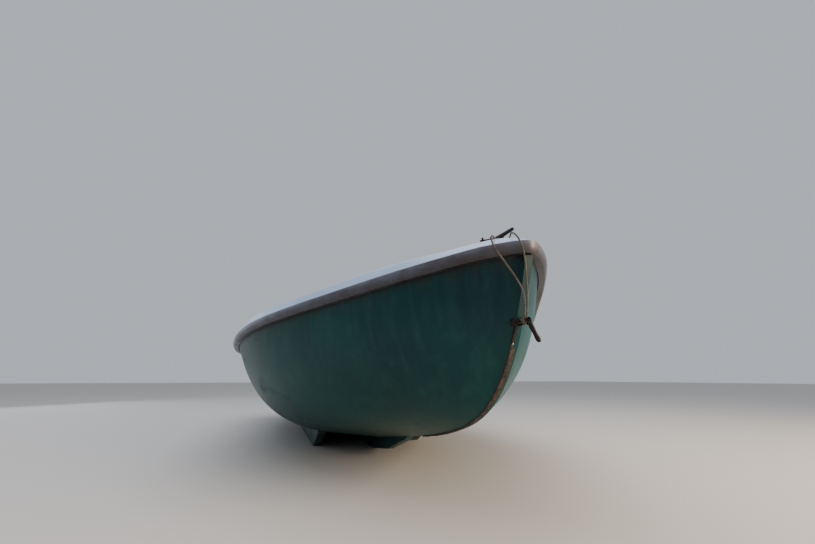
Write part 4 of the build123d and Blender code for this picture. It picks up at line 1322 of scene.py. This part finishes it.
DOWN = (0.0, 0.0, -1.0)
AFTWARD = (-1.0, 0.0, 0.0)
FORWARD = (1.0, 0.0, 0.0)
TO_PORT = (0.0, 1.0, 0.0)
FASTENER_KINDS = (
    FastenerKind("screw_heads_stem", Head(HeadKind.SLOTTED, radius=3.6, height=1.2), BAND_STEEL, (
        FastenerRow("stem_band", (2740, -5.5, 40), (3203, -5.5, 316), 8, (-0.45, 0, 0.9), False),
    )),
    FastenerKind("screw_heads_strap", Head(HeadKind.RIVET, radius=3.0, height=1.3), ZINC_STEEL, (
        FastenerRow("stem_fitting", (3400, -9.5, 434), (3400, -9.5, 434), 1, AFTWARD, False),
    )),
    FastenerKind("screw_heads_joinery", Head(HeadKind.SLOTTED, radius=4.5, height=1.0), ZINC_STEEL, (
        FastenerRow("centre_thwart", (1365, 590, 340), (1545, 590, 340), 2, DOWN),
        FastenerRow("centre_thwart", (1440, 16, 340), (1470, 16, 340), 2, DOWN),
        FastenerRow("bow_thwart", (2258, 488, 340), (2432, 440, 340), 2, DOWN),
        FastenerRow("stern_bench", (110, 440, 340), (400, 500, 340), 3, DOWN),
        FastenerRow("stern_bench", (405, 60, 340), (405, 380, 340), 3, DOWN),
        FastenerRow("thwart_knees", (1500, 604, 318), (1500, 694, 480), 2, AFTWARD),
        FastenerRow("thwart_knees", (2400, 492, 318), (2400, 634, 518), 2, AFTWARD),
        FastenerRow("quarter_knees", (62, 430, 620), (150, 530, 620), 3, DOWN),
        FastenerRow("stretcher_rails", (630, 210, 200), (890, 210, 200), 2, DOWN),
        FastenerRow("foot_stretcher", (760, 210, 260), (760, 210, 260), 1, DOWN),
        FastenerRow("stern_panel", (600, 140, 258), (600, 420, 258), 2, AFTWARD),
        FastenerRow("riser_port", (520, 100, 255), (2480, 100, 255), 9, TO_PORT),
    )),
    FastenerKind("screw_heads_cleat", Head(HeadKind.SLOTTED, radius=2.4, height=0.8), ZINC_STEEL, (
        FastenerRow("mooring_cleat", (3158.5, 7.8, 780), (3213.5, 7.8, 780), 2, DOWN),
    )),
    FastenerKind("screw_heads_cover", Head(HeadKind.SLOTTED, radius=3.5, height=1.2), ZINC_STEEL, (
        FastenerRow("inspection_cover", (2700, 57, 397), (2700, 57, 463), 2, FORWARD),
        FastenerRow("inspection_cover", (2700, 0, 364), (2700, 0, 496), 2, FORWARD, False),
    )),
    FastenerKind("bolt_heads_rowlocks", Head(HeadKind.HEX, radius=4.2, height=3.4), ZINC_STEEL, (
        FastenerRow("rowlock_bracket_port", (1063, 500, 532), (1117, 500, 532), 2, TO_PORT),
    )),
    FastenerKind("bolt_heads_pads", Head(HeadKind.HEX, radius=6.5, height=5.0), ZINC_STEEL, (
        FastenerRow("outboard_pad_outer", (-200, 92, 350), (-200, 92, 480), 2, FORWARD),
        FastenerRow("outboard_pad_inner", (300, 92, 350), (300, 92, 480), 2, AFTWARD),
    )),
    FastenerKind("rivet_heads_foredeck", Head(HeadKind.RIVET, radius=3.2, height=1.4), ZINC_STEEL, (
        FastenerRow("foredeck", (2700, 50, 603), (2700, 320, 603), 4, FORWARD),
    )),
    FastenerKind("drain_plug_slot", Head(HeadKind.SLOTTED, radius=10.0, height=2.0), BLACK_ABS, (
        FastenerRow("drain_plug", (-200, 60, 140), (-200, 60, 140), 1, FORWARD, False),
    )),
)

# Seed of each head's random turn
SPIN_SEED = 7


class Fasteners:
    """Sets screw, bolt and rivet heads on the solids, through one geometry node group."""

    def __init__(self) -> None:
        """Prepare the node group and an empty store of search trees."""
        self.group = self.node_group()
        self.trees: dict[str, BVHTree] = {}

    def tree(self, node: str) -> BVHTree:
        """Give a node's search tree, built once.

        Args:
            node: Name of the CAD node.

        Returns:
            The search tree.
        """
        if node not in self.trees:
            depsgraph = bpy.context.evaluated_depsgraph_get()
            self.trees[node] = BVHTree.FromObject(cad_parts[node], depsgraph)
        return self.trees[node]

    def socket(self, name: str, kind: str, way: str = "INPUT") -> None:
        """Add one socket to the group's interface."""
        self.group.interface.new_socket(name=name, in_out=way, socket_type=kind)

    def node_group(self) -> NodeTree:
        """Build the group that stands a head on each point, faces it outward and turns it at random.

        Returns:
            The group.
        """
        self.group = bpy.data.node_groups.new("fastener_heads", "GeometryNodeTree")
        self.socket("Points", "NodeSocketGeometry")
        self.socket("Head", "NodeSocketObject")
        self.socket("Finish", "NodeSocketMaterial")
        self.socket("Heads", "NodeSocketGeometry", "OUTPUT")
        tree = self.group
        given = add_node(tree, "NodeGroupInput")
        head = add_node(tree, "GeometryNodeObjectInfo", links={"Object": given.outputs["Head"]})
        facing = add_node(
            tree, "GeometryNodeInputNamedAttribute", values={"Name": "facing"}, data_type="FLOAT_VECTOR"
        )
        aligned = add_node(
            tree, "FunctionNodeAlignRotationToVector", links={"Vector": facing.outputs["Attribute"]}, axis="Z"
        )
        spin = add_node(
            tree,
            "FunctionNodeRandomValue",
            values={2: 0.0, 3: 2 * math.pi, "Seed": SPIN_SEED},
            data_type="FLOAT",
        )
        about = add_node(
            tree,
            "FunctionNodeAxisAngleToRotation",
            links={"Angle": spin.outputs[1]},
            values={"Axis": (0.0, 0.0, 1.0)},
        )
        turned = add_node(
            tree,
            "FunctionNodeRotateRotation",
            links={"Rotation": aligned.outputs["Rotation"], "Rotate By": about.outputs["Rotation"]},
            rotation_space="LOCAL",
        )
        placed = add_node(
            tree,
            "GeometryNodeInstanceOnPoints",
            links={
                "Points": given.outputs["Points"],
                "Instance": head.outputs["Geometry"],
                "Rotation": turned.outputs["Rotation"],
            },
        )
        real = add_node(tree, "GeometryNodeRealizeInstances", links={"Geometry": placed.outputs["Instances"]})
        dressed = add_node(
            tree,
            "GeometryNodeSetMaterial",
            links={"Geometry": real.outputs["Geometry"], "Material": given.outputs["Finish"]},
        )
        add_node(tree, "NodeGroupOutput", links={"Heads": dressed.outputs["Geometry"]})
        return tree

    def spots(self, row: FastenerRow) -> list[tuple[Vector, Vector]]:
        """Find where a row's lines of sight meet its node.

        Args:
            row: The row.

        Returns:
            Place and outward direction of each head.
        """
        found = []
        for side in (1, -1) if row.both_sides else (1,):
            node = row.node if side > 0 else row.node.replace("_port", "_starboard")
            look = Vector((row.look[0], side * row.look[1], row.look[2])).normalized()
            for k in range(row.count):
                share = k / max(row.count - 1, 1)
                at = [a + (b - a) * share for a, b in zip(row.first_mm, row.last_mm)]
                eye = Vector(in_frame((at[0], side * at[1], at[2])))
                place, outward, _, _ = self.tree(node).ray_cast(eye, look)
                if place is None:
                    log.warning("a row misses %s from %s", node, [round(v) for v in at])
                    continue
                if outward.dot(look) > 0:
                    outward = -outward
                found.append((place, outward))
        return found

    def build(self) -> None:
        """Make one piece of each kind of fastener."""
        for kind in FASTENER_KINDS:
            name = kind.piece
            spots = [spot for row in kind.rows for spot in self.spots(row)]
            points = bpy.data.meshes.new(name + "_points")
            points.from_pydata([place for place, _ in spots], [], [])
            facing = points.attributes.new("facing", "FLOAT_VECTOR", "POINT")
            for item, (_, outward) in zip(facing.data, spots):
                item.vector = outward
            head = bpy.data.objects.new(name + "_head", kind.head.mesh())
            holder = bpy.data.objects.new(name + "_holder", points)
            for helper in (head, holder):
                bpy.context.scene.collection.objects.link(helper)
            modifier = holder.modifiers.new("heads", "NODES")
            modifier.node_group = self.group
            for item in self.group.interface.items_tree:
                if item.name == "Head":
                    modifier[item.identifier] = head
                elif item.name == "Finish":
                    modifier[item.identifier] = kind.finish.material()
            depsgraph = bpy.context.evaluated_depsgraph_get()
            mesh = bpy.data.meshes.new_from_object(holder.evaluated_get(depsgraph))
            holder.modifiers.remove(modifier)
            for helper in (head, holder):
                bpy.data.objects.remove(helper)
            mesh.name = name
            as_piece(name, mesh, kind.finish)
            log.info("%s: %d heads", name, len(spots))


def paint_frame() -> None:
    """Give every CAD node its finish."""
    for finish, nodes in FINISHED_NODES.items():
        for name in nodes:
            paint(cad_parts[name], finish)
        log.info("%s: %d nodes", finish.name, len(nodes))


def main() -> None:
    """Build the scene in order, and report each piece."""
    logging.basicConfig(level=logging.INFO, format="%(message)s")
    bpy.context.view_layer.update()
    studio = Studio()
    studio.set_camera()
    BowRope().build()
    Fasteners().build()
    studio.set_floor()
    studio.set_lights()
    paint_frame()


if __name__ == "__main__":
    main()
